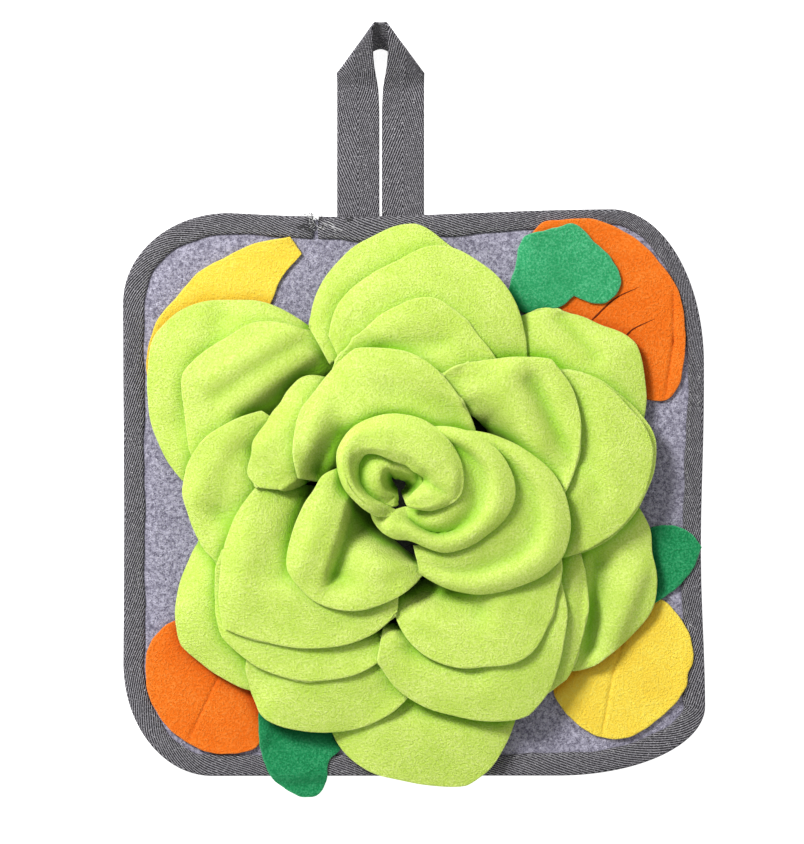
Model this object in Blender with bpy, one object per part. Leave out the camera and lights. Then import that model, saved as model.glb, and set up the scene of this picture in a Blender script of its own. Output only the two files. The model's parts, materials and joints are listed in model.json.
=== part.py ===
"""A square pet training mat: a felt panel bound in tape, with a hanging loop and a fleece rose.

The origin is the centre of the mat's underside, +Y points to the hanging loop and +Z up.
Tables are in millimetres, and MM turns them into metres when a mesh is made.
Every cloth piece is a grid of points seen from above. It is laid over the pieces before it,
and lifted wherever they would touch.
"""
import math
from collections import namedtuple

import bpy
import numpy as np

MM = 0.001

# Felt panel and its tape binding
FELT_THICK = 3.2
MARGIN_LOW = 1.3
MARGIN_HIGH = 2.3
TAPE_THICK = 1.0
TAPE_WIDTH = 22.0
PART_GAP = 0.3
WALL_THICK = 1.3
FELT_INSET = 1.8
MARGIN_RAMP = 4.0
TAPE_FOLD_RADIUS = 1.2
TAPE_FOLD_SHOULDER = 0.6
FOLD_SHOULDER_INSET = 0.3
INNER_CHAMFER = 0.3
BINDING_HIGH = MARGIN_HIGH + PART_GAP + TAPE_THICK

# The panel's four corners: where the two edges would meet, and where the round stretch
# starts and ends on them
Corner = namedtuple("Corner", "x y before after")
CORNERS = {
    "top_left": Corner(-150.5, 144.0, 49.0, 48.0),
    "top_right": Corner(149.6, 147.0, 52.0, 62.0),
    "bottom_right": Corner(150.6, -146.2, 48.0, 78.0),
    "bottom_left": Corner(-150.2, -146.5, 46.0, 46.0),
}
CORNER_STEPS = 7
SIDE_STEPS = 10

# How far each side bows in, where along it, and how much tape shows at its start
Side = namedtuple("Side", "bow peak tape_start tape_middle")
SIDES = {
    "top": Side(2.6, 0.34, 10.8, 11.2),
    "right": Side(1.9, 0.55, 8.2, 9.8),
    "bottom": Side(0.0, 0.5, 11.6, 10.4),
    "left": Side(0.4, 0.4, 10.8, 10.4),
}

# Hanging loop. One row for each cross section of its left leg, from the root to the peak, where
# the tape folds under and meets the right leg. out is the distance to the loop's middle line.
LOOP_MIDDLE = -17.3
LoopCut = namedtuple("LoopCut", "outer_out outer_y outer_z inner_out inner_y inner_z")
LOOP_CUTS = [
    LoopCut(22.5, 134.5, 0.5, 0.6, 134.5, 0.5),
    LoopCut(22.5, 184.0, 0.5, 0.6, 190.0, 0.5),
    LoopCut(22.5, 210.5, 0.5, 1.0, 206.0, 0.9),
    LoopCut(22.5, 215.5, 2.1, 3.6, 223.0, 9.5),
    LoopCut(21.3, 217.7, 2.3, 4.1, 240.0, 17.0),
    LoopCut(19.3, 219.1, 0.5, 2.4, 242.0, 16.2),
    LoopCut(8.0, 225.9, 0.5, 1.4, 241.9, 15.4),
    LoopCut(0.0, 229.5, 0.5, 0.0, 241.8, 15.1),
]
LOOP_CELLS = 3
LOOP_LIFT = TAPE_THICK + PART_GAP
LOOP_LIFT_REACH = 20.0
LOOP_LIFT_EASE = 10.0

# The rose
ROSE = (-4.6, -3.9)
BUD = (-8.3, 4.4)
BACKING_RADIUS = 88.0
BACKING_STEPS = 48
BACKING_THICK = 1.5
BACKING_LOW = FELT_THICK + PART_GAP
BACKING_HIGH = BACKING_LOW + BACKING_THICK
PETAL_THICK = 2.0
APPLIQUE_THICK = 1.8
ROOT_HIGH = BACKING_HIGH + PART_GAP
CREST_PLACE = 0.42
CREST_FULLNESS = 0.9
RIM_CURL = 1.7
SIDE_DROP = 0.35
SIDE_POWER = 3
RIPPLE = 0.7
RIPPLE_ROUND = 2.6
RIPPLE_OUT = 2.2
RIPPLE_SHIFT = 0.7

# How pieces are laid over each other
CELL = 0.75
SAMPLE = 0.5
LAY_GAP = 0.5
EDGE_CLEAR = 2.0
SPREAD_PASSES = 6
SETTLE_PASSES = 6
APPLIQUE_PASSES = 2
BUD_PASSES = 3
STEEPEST = 1.9
MAP_LOW = (-175.0, -180.0)
MAP_SIZE = (350.0, 440.0)

# One row for each lapped petal, lowest first. Bearings are degrees about the rose's centre,
# anticlockwise from +X, and left is the anticlockwise side. reach is the tip's distance. On each
# side the edge falls to a side distance over a spread of degrees, fuller with a higher round.
# heel is the sewn root's distance, and the side heels are where its two ends lie.
# crest is the petal's highest point and rim its cut edge's height.
Petal = namedtuple(
    "Petal",
    "name bearing reach left left_side left_round right right_side right_round "
    "heel left_heel right_heel crest rim",
)
PETALS = [
    Petal("outer_left_top", 146, 154, 29, 115, 1.5, 27, 102, 1.9, 80, 80, 80, 16, 9),
    Petal("lap_left_top", 150, 131, 32, 92, 1.3, 39, 84, 2.1, 70, 70, 70, 22, 13),
    Petal("outer_left_low", 213, 137, 32, 108, 1.5, 26, 100, 1.4, 78, 78, 78, 16, 9),
    Petal("outer_bottom", 282, 151, 24, 104, 1.35, 34, 112, 2.5, 82, 82, 82, 15, 8),
    Petal("outer_right_low", 337, 139, 32, 98, 1.5, 34, 100, 2.1, 78, 78, 78, 16, 8),
    Petal("outer_right_top", 34, 144, 26, 104, 1.7, 34, 105, 1.3, 80, 80, 80, 15, 8),
    Petal("outer_top", 88, 143, 31, 101, 1.8, 30, 105, 1.3, 80, 80, 80, 15, 8),
    Petal("lap_top", 83, 132, 32, 93, 1.4, 34, 95, 2.0, 68, 68, 68, 22, 14),
    Petal("lap_bottom_left", 238, 134, 34, 100, 1.45, 16, 106, 1.8, 70, 70, 70, 22, 13),
    Petal("lap_right_back", 13, 132, 31, 97, 1.75, 34, 85, 1.65, 72, 72, 72, 22, 14),
    Petal("lap_low_right", 312, 125, 33, 91, 1.2, 24, 100, 1.8, 68, 68, 68, 22, 14),
    Petal("lap_left", 178, 115, 30, 92, 1.5, 30, 87, 1.8, 62, 62, 62, 23, 15),
    Petal("mid_low_left_under", 217, 117, 48, 78, 1.7, 22, 97, 1.4, 62, 68, 62, 26, 19),
    Petal("mid_low_right_under", 300, 127, 34, 88, 1.3, 40, 83, 1.5, 64, 64, 64, 26, 19),
    Petal("mid_right_under", 13, 130, 31, 96, 1.75, 34, 84, 1.65, 60, 60, 60, 26, 19),
    Petal("mid_top", 82, 105, 37, 77, 1.7, 30, 80, 1.5, 52, 52, 52, 28, 21),
    Petal("mid_low_right", 309, 101, 35, 80, 1.6, 46, 54, 2.0, 42, 42, 42, 31, 25),
    Petal("mid_low_left", 215, 114, 51, 58, 1.05, 44, 73, 1.0, 44, 44, 44, 31, 25),
    Petal("mid_left", 152, 84, 23, 76, 2.2, 30, 74, 1.6, 44, 44, 44, 33, 27),
    Petal("mid_right", 44, 104, 32, 64, 1.0, 41, 82, 2.3, 56, 48, 78, 31, 25),
    Petal("inner_top", 108, 82, 60, 56, 1.15, 68, 49, 1.15, 26, 26, 26, 38, 31),
    Petal("inner_low_left", 211, 70, 72, 39, 1.5, 60, 36, 1.7, 19, 37, 19, 37, 31),
]

# The bud's wrapped petals, one row for each section round the bud's own centre
Section = namedtuple("Section", "bearing heel reach valley crest rim")
BUD_PETALS = {
    "bud_outer": [
        Section(40, 30, 42, 0, 35, 31),
        Section(20, 32, 62, 1, 37, 31),
        Section(0, 34, 84, 4, 38, 31),
        Section(338, 36, 92, 6, 38, 31),
        Section(318, 36, 79, 5, 38, 31),
        Section(300, 34, 63, 2, 37, 32),
        Section(284, 32, 46, 0, 35, 32),
    ],
    "bud_middle": [
        Section(72, 16, 28, 0, 40, 38),
        Section(45, 17, 41, 1, 42, 38),
        Section(18, 18, 54, 5, 43, 38),
        Section(354, 18, 60, 7, 43, 37),
        Section(330, 17, 52, 6, 43, 38),
        Section(306, 14, 42, 3, 43, 39),
        Section(286, 12, 30, 1, 43, 39),
        Section(258, 11, 26, 0, 42, 39),
        Section(232, 11, 21, 0, 40, 38),
    ],
    "bud_heart": [
        Section(252, 7, 14, 0, 32, 38),
        Section(215, 4, 16, 0, 33, 40),
        Section(180, 4, 21, 0, 35, 42),
        Section(150, 9, 26, 0, 37, 43),
        Section(110, 7, 19, 0, 38, 44),
        Section(60, 6, 15, 0, 37, 43),
        Section(20, 10, 15, 0, 35, 41),
    ],
    "bud_swirl": [
        Section(250, 10, 17, 0, 45, 44),
        Section(215, 13, 21, 0, 47, 45),
        Section(185, 17, 26, 0, 49, 46),
        Section(160, 23, 32, 0, 50, 46),
        Section(135, 24, 37, 0, 51, 46),
        Section(105, 17, 36, 0, 52, 45),
        Section(70, 12, 36, 0, 52, 44),
        Section(30, 12, 35, 0, 51, 43),
        Section(0, 10, 34, 0, 50, 43),
        Section(338, 9, 28, 0, 49, 43),
        Section(312, 8, 17, 0, 48, 45),
        Section(295, 7, 11, 0, 47, 46),
    ],
}
BUD_ORDER = ("bud_outer", "bud_middle", "bud_heart", "bud_swirl")
BUD_CREST_PLACE = 0.5
BUD_VALLEY_PLACE = 0.42
BUD_VALLEY_WIDTH = 0.16
BUD_ROOT_HIGH = {"bud_outer": 12.0, "bud_middle": 18.0, "bud_heart": 22.0, "bud_swirl": 26.0}

# Soft creases in a petal: the bearing where one crosses the heel and the rim, its depth,
# and its width in degrees on the anticlockwise and the clockwise side
CREASE_START = 0.7
Crease = namedtuple("Crease", "heel_bearing rim_bearing depth left_width right_width")
CREASES = {
    "inner_low_left": Crease(196, 229, 7.0, 24, 9),
    "lap_left_top": Crease(122, 116, 7.0, 10, 12),
    "lap_left": Crease(192, 190, 5.0, 8, 14),
    "outer_right_low": Crease(332, 330, 5.0, 12, 8),
    "mid_right": Crease(22, 16, 5.0, 12, 8),
    "inner_top": Crease(150, 156, 5.0, 8, 14),
}

# Flat appliques: the middle of each cross section and its half widths to the left and right
# of the line through them
Cut = namedtuple("Cut", "x y left right")
APPLIQUES = {
    "banana_applique": [
        Cut(-62.5, 128.5, 7.0, 6.0),
        Cut(-67.0, 124.5, 8.5, 8.0),
        Cut(-79.0, 116.5, 12.0, 12.5),
        Cut(-99.0, 104.0, 14.0, 15.0),
        Cut(-116.0, 86.0, 15.0, 14.0),
        Cut(-127.0, 66.0, 14.0, 11.0),
        Cut(-132.0, 50.0, 6.0, 6.0),
    ],
    "carrot_applique": [
        Cut(61.5, 131.0, 5.0, 4.0),
        Cut(80.0, 123.0, 16.0, 28.0),
        Cut(105.0, 110.0, 22.0, 36.0),
        Cut(119.0, 86.0, 20.0, 30.0),
        Cut(123.0, 64.0, 15.0, 20.0),
        Cut(123.0, 48.0, 6.0, 9.0),
    ],
    "orange_disc_applique": [],
    "yellow_disc_applique": [],
    "heart_leaf_applique": [
        Cut(51.5, 106.0, 6.0, 6.0),
        Cut(57.5, 110.5, 16.0, 17.0),
        Cut(69.0, 115.0, 18.5, 20.5),
        Cut(80.0, 119.0, 19.6, 19.4),
        Cut(85.0, 119.0, 17.8, 17.6),
        Cut(95.0, 114.0, 13.0, 17.0),
        Cut(103.0, 111.0, 8.5, 11.0),
        Cut(106.6, 110.0, 3.0, 3.5),
    ],
    "leaf_right_applique": [
        Cut(104.0, -42.0, 14.0, 14.0),
        Cut(122.0, -38.0, 21.0, 21.0),
        Cut(134.0, -34.0, 17.5, 18.5),
        Cut(143.0, -30.5, 10.5, 11.5),
        Cut(148.9, -28.2, 3.0, 3.0),
    ],
    "leaf_bottom_applique": [
        Cut(-59.0, -98.0, 14.0, 14.0),
        Cut(-61.5, -123.0, 19.6, 19.6),
        Cut(-60.0, -136.0, 18.0, 17.0),
        Cut(-57.0, -148.5, 12.0, 10.5),
        Cut(-52.7, -158.0, 2.5, 2.5),
    ],
}
APPLIQUE_ORDER = tuple(APPLIQUES)

# The two round appliques: centre, the longer and the shorter half width, and the bearing
# of the longer one
Disc = namedtuple("Disc", "x y long short bearing")
DISCS = {
    "orange_disc_applique": Disc(-103.0, -98.5, 39.5, 33.5, 135.0),
    "yellow_disc_applique": Disc(106.0, -89.5, 37.5, 36.5, 60.0),
}
DISC_CUTS = 9
DISC_END = 2.0

# Cells along and across each kind of piece
PETAL_GRID = (12, 5)
SWIRL_GRID = (20, 5)
MIDDLE_GRID = (16, 6)
CUT_GRID = (10, 6)
DISC_GRID = (10, 8)
SHARP_ANGLE = 50.0

# Surface colours in linear light, roughness
Finish = namedtuple("Finish", "colour roughness")
FINISHES = {
    "felt": Finish((0.28, 0.27, 0.33), 0.95),
    "tape": Finish((0.11, 0.11, 0.12), 0.85),
    "backing": Finish((0.02, 0.02, 0.022), 0.95),
    "lime": Finish((0.60, 0.80, 0.14), 0.9),
    "yellow": Finish((0.95, 0.74, 0.08), 0.9),
    "orange": Finish((0.90, 0.17, 0.02), 0.9),
    "leaf": Finish((0.02, 0.26, 0.09), 0.9),
    "heart": Finish((0.06, 0.42, 0.18), 0.9),
}
APPLIQUE_FINISH = {
    "banana_applique": "yellow",
    "carrot_applique": "orange",
    "orange_disc_applique": "orange",
    "yellow_disc_applique": "yellow",
    "heart_leaf_applique": "heart",
    "leaf_right_applique": "leaf",
    "leaf_bottom_applique": "leaf",
}


def clear_scene():
    for old in list(bpy.data.objects):
        bpy.data.objects.remove(old, do_unlink=True)


def make_materials():
    made = {}
    for name, finish in FINISHES.items():
        material = bpy.data.materials.new(name)
        material.use_nodes = True
        shader = material.node_tree.nodes["Principled BSDF"]
        shader.inputs["Base Color"].default_value = (*finish.colour, 1.0)
        shader.inputs["Roughness"].default_value = finish.roughness
        shader.inputs["Metallic"].default_value = 0.0
        made[name] = material
    return made


def new_piece(name, points, faces, material, parent):
    """Make one object from points in millimetres."""
    mesh = bpy.data.meshes.new(name)
    mesh.from_pydata([tuple(MM * float(value) for value in point) for point in points], [], faces)
    mesh.update()
    mesh.materials.append(material)
    mesh.shade_smooth()
    mesh.set_sharp_from_angle(angle=math.radians(SHARP_ANGLE))
    piece = bpy.data.objects.new(name, mesh)
    bpy.context.collection.objects.link(piece)
    piece.parent = parent
    return piece


def curve_through(places, values, wanted):
    """A smooth curve through the values, without overshoot between two of them."""
    places = np.asarray(places, float)
    values = np.asarray(values, float)
    steps = np.diff(places)
    slopes = np.diff(values) / steps
    tangents = np.zeros_like(values)
    tangents[0] = slopes[0]
    tangents[-1] = slopes[-1]
    same_way = slopes[:-1] * slopes[1:] > 0
    weights = steps[:-1] + steps[1:]
    blend = (steps[1:] / weights) * slopes[:-1] + (steps[:-1] / weights) * slopes[1:]
    tangents[1:-1] = np.where(same_way, blend, 0.0)
    index = np.clip(np.searchsorted(places, wanted) - 1, 0, len(steps) - 1)
    width = steps[index]
    along = (wanted - places[index]) / width
    start_weight = (1 + 2 * along) * (1 - along) ** 2
    end_weight = along ** 2 * (3 - 2 * along)
    start_turn = along * (1 - along) ** 2 * width
    end_turn = along ** 2 * (along - 1) * width
    return (
        start_weight * values[index]
        + end_weight * values[index + 1]
        + start_turn * tangents[index]
        + end_turn * tangents[index + 1]
    )


def panel_outline():
    """The panel's outer edge, clockwise from the left side's top, with the tape's width."""
    names = list(CORNERS)
    sides = list(SIDES.values())
    points = []
    for index, name in enumerate(names):
        corner = CORNERS[name]
        towards = CORNERS[names[index - 1]]
        beyond = CORNERS[names[(index + 1) % len(names)]]
        back = np.array([towards.x - corner.x, towards.y - corner.y])
        onward = np.array([beyond.x - corner.x, beyond.y - corner.y])
        length = np.linalg.norm(onward)
        back = back / np.linalg.norm(back)
        onward = onward / length
        meet = np.array([corner.x, corner.y])
        side = sides[index]
        next_side = sides[(index + 1) % len(sides)]
        for step in range(CORNER_STEPS):
            turn = 0.5 * math.pi * step / CORNER_STEPS
            towards_start = back * corner.before * (1 - math.sin(turn))
            towards_end = onward * corner.after * (1 - math.cos(turn))
            points.append((*(meet + towards_start + towards_end), side.tape_start))
        run = length - corner.after - beyond.before
        inward = np.array([onward[1], -onward[0]])
        power = math.log(0.5) / math.log(side.peak)
        widths = [side.tape_start, side.tape_middle, next_side.tape_start]
        for step in range(SIDE_STEPS):
            along = step / SIDE_STEPS
            bow = side.bow * math.sin(math.pi * along ** power) ** 2
            place = meet + onward * (corner.after + run * along) + inward * bow
            points.append((*place, float(curve_through([0.0, 0.5, 1.0], widths, along))))
    return np.array(points)


def inward_normals(outline):
    ahead = np.roll(outline[:, :2], -1, axis=0)
    behind = np.roll(outline[:, :2], 1, axis=0)
    along = ahead - behind
    along /= np.linalg.norm(along, axis=1)[:, None]
    return np.stack([along[:, 1], -along[:, 0]], axis=1)


def loop_lift(x, y):
    """How far the panel's edge is raised where the loop's tape lies under it."""
    reach = LOOP_CUTS[0].outer_out + LOOP_LIFT_REACH
    outside = np.maximum(np.abs(x - LOOP_MIDDLE) - reach, 0.0)
    near = np.clip(1.0 - outside / LOOP_LIFT_EASE, 0.0, 1.0)
    near = near * near * (3 - 2 * near)
    return np.where(y > 0, LOOP_LIFT * near, 0.0)


def ring_piece(name, rings, material, parent):
    """Close a list of point rings, each joined to the next and the last to the first."""
    count = len(rings[0])
    points = [point for ring in rings for point in ring]
    faces = []
    for row in range(len(rings)):
        here = row * count
        after = (row + 1) % len(rings) * count
        for step in range(count):
            ahead = (step + 1) % count
            faces.append((here + step, here + ahead, after + ahead, after + step))
    return new_piece(name, points, faces, material, parent)


def inset_ring(outline, normals, inset, height):
    """The panel's outline moved in by an inset, at a height."""
    inset = np.broadcast_to(inset, len(outline))
    place = outline[:, :2] + normals * inset[:, None]
    return np.column_stack([place, np.broadcast_to(height, len(outline))])


def under_width(outline):
    """How far the tape reaches in under the panel."""
    return TAPE_WIDTH - 2 * TAPE_FOLD_RADIUS - outline[:, 2]


def make_binding(outline, normals, material, parent):
    """The tape folded over the edge: one C section swept round the panel."""
    lift = loop_lift(outline[:, 0], outline[:, 1])
    tape = outline[:, 2]
    under = under_width(outline)
    fold = TAPE_FOLD_RADIUS
    high = BINDING_HIGH
    section = [
        (tape, high - TAPE_THICK),
        (tape, high),
        (fold, high),
        (FOLD_SHOULDER_INSET, high - TAPE_FOLD_SHOULDER),
        (0.0, 0.5 * high),
        (FOLD_SHOULDER_INSET, TAPE_FOLD_SHOULDER),
        (fold, 0.0),
        (under, 0.0),
        (under, TAPE_THICK),
        (WALL_THICK + INNER_CHAMFER, TAPE_THICK),
        (WALL_THICK, MARGIN_LOW),
        (WALL_THICK, MARGIN_HIGH),
        (WALL_THICK + INNER_CHAMFER, high - TAPE_THICK),
    ]
    rings = [inset_ring(outline, normals, inset, height + lift) for inset, height in section]
    return ring_piece("edge_binding", rings, material, parent), rings


def make_felt(outline, normals, material, parent):
    """The felt panel, pressed thin where the tape grips it and flat on the surface inside."""
    tape = outline[:, 2]
    under = under_width(outline)
    lift = loop_lift(outline[:, 0], outline[:, 1])
    rings = [
        inset_ring(outline, normals, tape + PART_GAP + MARGIN_RAMP, FELT_THICK),
        inset_ring(outline, normals, tape + PART_GAP, MARGIN_HIGH + lift),
        inset_ring(outline, normals, FELT_INSET, MARGIN_HIGH + lift),
        inset_ring(outline, normals, FELT_INSET, MARGIN_LOW + lift),
        inset_ring(outline, normals, under + PART_GAP, MARGIN_LOW + lift),
        inset_ring(outline, normals, under + PART_GAP + MARGIN_RAMP, 0.0),
    ]
    count = len(outline)
    points = [point for ring in rings for point in ring]
    faces = []
    for row in range(len(rings) - 1):
        low = row * count
        for step in range(count):
            ahead = (step + 1) % count
            faces.append((low + step, low + ahead, low + count + ahead, low + count + step))
    faces.append(tuple(reversed(range(count))))
    faces.append(tuple(range(len(points) - count, len(points))))
    return new_piece("felt_base", points, faces, material, parent)


def sheet_solid(centre, half_thick):
    """Top and bottom points of a sheet, half a thickness to each side of a grid of points."""
    across = np.gradient(centre, axis=0)
    along = np.gradient(centre, axis=1)
    normal = np.cross(across, along)
    normal /= np.linalg.norm(normal, axis=2)[:, :, None]
    return centre + normal * half_thick, centre - normal * half_thick


def grid_faces(rows, columns):
    """Triangles of a closed sheet: its first face, its second face and its edge."""
    count = rows * columns

    def place(row, column, face):
        return face * count + row * columns + column

    faces = []
    for row in range(rows - 1):
        for column in range(columns - 1):
            corners = [(row, column), (row + 1, column), (row + 1, column + 1), (row, column + 1)]
            first = [place(*corner, 0) for corner in corners]
            second = [place(*corner, 1) for corner in corners]
            faces.append((first[0], first[1], first[2]))
            faces.append((first[0], first[2], first[3]))
            faces.append((second[0], second[2], second[1]))
            faces.append((second[0], second[3], second[2]))
    edge = [(row, 0) for row in range(rows)]
    edge += [(rows - 1, column) for column in range(1, columns)]
    edge += [(row, columns - 1) for row in range(rows - 2, -1, -1)]
    edge += [(0, column) for column in range(columns - 2, 0, -1)]
    for index, here in enumerate(edge):
        ahead = edge[(index + 1) % len(edge)]
        faces.append((place(*here, 0), place(*here, 1), place(*ahead, 1)))
        faces.append((place(*here, 0), place(*ahead, 1), place(*ahead, 0)))
    return faces


def sheet_piece(name, top, bottom, material, parent):
    """Close a sheet between its top and bottom grids, with its faces pointing out."""
    faces = grid_faces(*top.shape[:2])
    points = np.concatenate([top.reshape(-1, 3), bottom.reshape(-1, 3)])
    corners = points[np.array(faces)]
    volume = np.sum(corners[:, 0] * np.cross(corners[:, 1], corners[:, 2]))
    if volume < 0:
        faces = [tuple(reversed(face)) for face in faces]
    return new_piece(name, points, faces, material, parent)


def make_loop(material, parent):
    """The hanging loop: the left leg's cross sections, and the same mirrored for the right."""
    half = 0.5 * TAPE_THICK
    left = np.array(LOOP_CUTS, float)
    right = left[-2::-1]
    rails = []
    for cuts, side in ((left, -1.0), (right, 1.0)):
        for cut in cuts:
            outer = (LOOP_MIDDLE + side * cut[0], cut[1], cut[2])
            inner = (LOOP_MIDDLE + side * cut[3], cut[4], cut[5])
            rails.append((outer, inner))
    rails = np.array(rails)
    share = np.linspace(0.0, 1.0, LOOP_CELLS + 1)[None, :, None]
    centre = rails[:, :1] * (1.0 - share) + rails[:, 1:] * share
    top, bottom = sheet_solid(centre, half)
    return sheet_piece("hanging_loop", top, bottom, material, parent)


def backing_rim(height):
    turn = np.linspace(0.0, 2 * math.pi, BACKING_STEPS, endpoint=False)
    x = ROSE[0] + BACKING_RADIUS * np.cos(turn)
    y = ROSE[1] + BACKING_RADIUS * np.sin(turn)
    return np.column_stack([x, y, np.full(BACKING_STEPS, height)])


def make_backing(material, parent):
    """The dark disc under the petals."""
    steps = BACKING_STEPS
    points = np.concatenate([backing_rim(BACKING_LOW), backing_rim(BACKING_HIGH)])
    faces = [tuple(reversed(range(steps))), tuple(range(steps, 2 * steps))]
    for step in range(steps):
        ahead = (step + 1) % steps
        faces.append((step, ahead, steps + ahead, steps + step))
    return new_piece("rose_backing", points, faces, material, parent)


def between_points(grid, parts):
    """Points on a grid's own triangles, close enough together to fill the height map."""
    along = np.arange(parts[0]) / parts[0]
    across = np.arange(parts[1]) / parts[1]
    a = along[None, :, None, None]
    b = across[None, None, None, :]
    corner = grid[:-1, :-1]
    right = grid[1:, :-1]
    far = grid[1:, 1:]
    left = grid[:-1, 1:]

    def spread(values):
        return values[:, None, :, None]

    samples = []
    for axis in range(grid.shape[2]):
        start, first, last, other = (spread(part[:, :, axis]) for part in (corner, right, far, left))
        lower = start + a * (first - start) + b * (last - first)
        upper = start + b * (other - start) + a * (last - other)
        samples.append(np.where(a >= b, lower, upper))
    return np.stack(samples, axis=-1)


def around(values):
    """The mean of each value's four neighbours."""
    wide = np.pad(values, 1, mode="edge")
    return 0.25 * (wide[:-2, 1:-1] + wide[2:, 1:-1] + wide[1:-1, :-2] + wide[1:-1, 2:])


def raise_corners(lift, short, parts, evenly):
    """Raise each cell's corners by what the cell lacks, the nearer corner the more."""
    raised = lift.copy()
    along = (np.arange(parts[0]) / parts[0])[None, :, None, None]
    across = (np.arange(parts[1]) / parts[1])[None, None, None, :]
    rows, columns = short.shape[0], short.shape[2]
    for over, near_row in ((0, 1.0 - along), (1, along)):
        for down, near_column in ((0, 1.0 - across), (1, across)):
            share = 1.0 if evenly else near_row * near_column
            wanted = lift[over:over + rows, down:down + columns] + (short * share).max(axis=(1, 3))
            view = raised[over:over + rows, down:down + columns]
            np.maximum(view, wanted, out=view)
    return raised


class Pile:
    """The height of everything laid so far, on a map of small square cells."""

    def __init__(self):
        size = [int(length / CELL) for length in MAP_SIZE]
        self.high = np.zeros(size)

    def cells(self, x, y):
        column = ((x - MAP_LOW[0]) / CELL).astype(int)
        row = ((y - MAP_LOW[1]) / CELL).astype(int)
        return column, row

    def parts(self, grid):
        down = np.linalg.norm(np.diff(grid[:, :, :2], axis=0), axis=2).max()
        over = np.linalg.norm(np.diff(grid[:, :, :2], axis=1), axis=2).max()
        return max(2, math.ceil(down / SAMPLE)), max(2, math.ceil(over / SAMPLE))

    def add(self, grid):
        samples = between_points(grid, self.parts(grid))
        column, row = self.cells(samples[..., 0], samples[..., 1])
        np.maximum.at(self.high, (column.ravel(), row.ravel()), samples[..., 2].ravel())

    def add_fan(self, ring, high):
        """Add a flat face inside a closed ring."""
        middle = np.broadcast_to(ring.mean(axis=0), ring.shape)
        fan = np.stack([ring, middle], axis=1)
        fan[:, :, 2] = high
        self.add(np.concatenate([fan, fan[:1]]))

    def grown(self):
        """The map with each height spread to the cells within the edge clearance."""
        reach = int(EDGE_CLEAR / CELL)
        wide = self.high.copy()
        for over in range(-reach, reach + 1):
            for down in range(-reach, reach + 1):
                if math.hypot(over, down) <= reach + 0.5:
                    wide = np.maximum(wide, np.roll(self.high, (over, down), axis=(0, 1)))
        return wide

    def lay(self, grid, thick, passes):
        """Lift a sheet clear of the pile, add its top to the pile, return top and bottom."""
        parts = self.parts(grid)
        samples = between_points(grid, parts)
        floor = self.grown()[self.cells(samples[..., 0], samples[..., 1])] + LAY_GAP
        lift = np.zeros(grid.shape[:2])
        for settling in range(SETTLE_PASSES + 1):
            lifted = np.dstack([grid[:, :, :2], grid[:, :, 2] + lift])
            short = np.maximum(floor - between_points(lifted, parts)[..., 2], 0.0)
            last = settling == SETTLE_PASSES
            lift = raise_corners(lift, short, parts, evenly=last)
        needed = grid[:, :, 2] + lift
        smooth = needed.copy()
        for _ in range(passes):
            lift = np.maximum(lift, around(lift))
            smooth = np.maximum(smooth, around(smooth))
        bottom = grid.copy()
        bottom[:, :, 2] = np.minimum(grid[:, :, 2] + lift, smooth)
        top = bottom.copy()
        top[:, :, 2] += thick * upright_factor(bottom)
        self.add(top)
        return top, bottom


def upright_factor(grid):
    """How much taller than its thickness a sloping sheet stands."""
    across = np.gradient(grid, axis=0)
    along = np.gradient(grid, axis=1)
    normal = np.cross(across, along)
    size = np.linalg.norm(normal, axis=2)
    return np.clip(size / np.maximum(np.abs(normal[:, :, 2]), 1e-9), 1.0, STEEPEST)


def fan_points(hub, bearings, heels, reaches, columns):
    """A grid from the heel out to the rim, with one row for each bearing."""
    out = np.linspace(0.0, 1.0, columns + 1)
    radius = heels[:, None] + (reaches - heels)[:, None] * out[None, :]
    turn = np.radians(bearings)[:, None]
    return hub[0] + radius * np.cos(turn), hub[1] + radius * np.sin(turn), out


def arch(out, root, crest, rim, place):
    """A petal's profile: up from its root, over the crest and down to the rim."""
    rise = np.clip(out / place, 0.0, 1.0)
    fall = np.clip((out - place) / (1.0 - place), 0.0, 1.0)
    swell = np.sin(0.5 * math.pi * rise) ** CREST_FULLNESS
    return root + (crest - root) * swell - (crest - rim) * fall ** RIM_CURL


def crease_depth(name, bearings, out):
    """How far a petal's crease lowers each point."""
    crease = CREASES.get(name)
    if crease is None:
        return 0.0
    line = crease.heel_bearing + (crease.rim_bearing - crease.heel_bearing) * out[None, :]
    away = bearings[:, None] - line
    width = np.where(away > 0, crease.left_width, crease.right_width)
    along = np.sin(math.pi * np.clip(out, 0.0, 1.0) ** CREASE_START)
    return crease.depth * np.exp(-(away / width) ** 2) * along[None, :]


def petal_grid(petal, number):
    rows, columns = PETAL_GRID
    turn = np.linspace(-1.0, 1.0, rows + 1)
    spread = np.where(turn > 0, petal.left, petal.right)
    side = np.where(turn > 0, petal.left_side, petal.right_side)
    fullness = np.where(turn > 0, petal.left_round, petal.right_round)
    bearings = petal.bearing + turn * spread
    reaches = side + (petal.reach - side) * (1.0 - np.abs(turn) ** fullness)
    end_heel = np.where(turn > 0, petal.left_heel, petal.right_heel)
    heels = petal.heel + (end_heel - petal.heel) * np.abs(turn) ** SIDE_POWER
    x, y, out = fan_points(ROSE, bearings, heels, reaches, columns)
    high = arch(out, ROOT_HIGH, petal.crest, petal.rim, CREST_PLACE)[None, :]
    lowered = 1.0 - SIDE_DROP * np.abs(turn)[:, None] ** SIDE_POWER
    round_wave = np.sin(RIPPLE_ROUND * turn + number)
    out_wave = np.sin(RIPPLE_OUT * out + RIPPLE_SHIFT * number)
    wave = RIPPLE * round_wave[:, None] * (out_wave * out)[None, :]
    high = ROOT_HIGH + (high - ROOT_HIGH) * lowered + wave
    high = high - crease_depth(petal.name, bearings, out)
    return np.stack([x, y, high], axis=-1)


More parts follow.
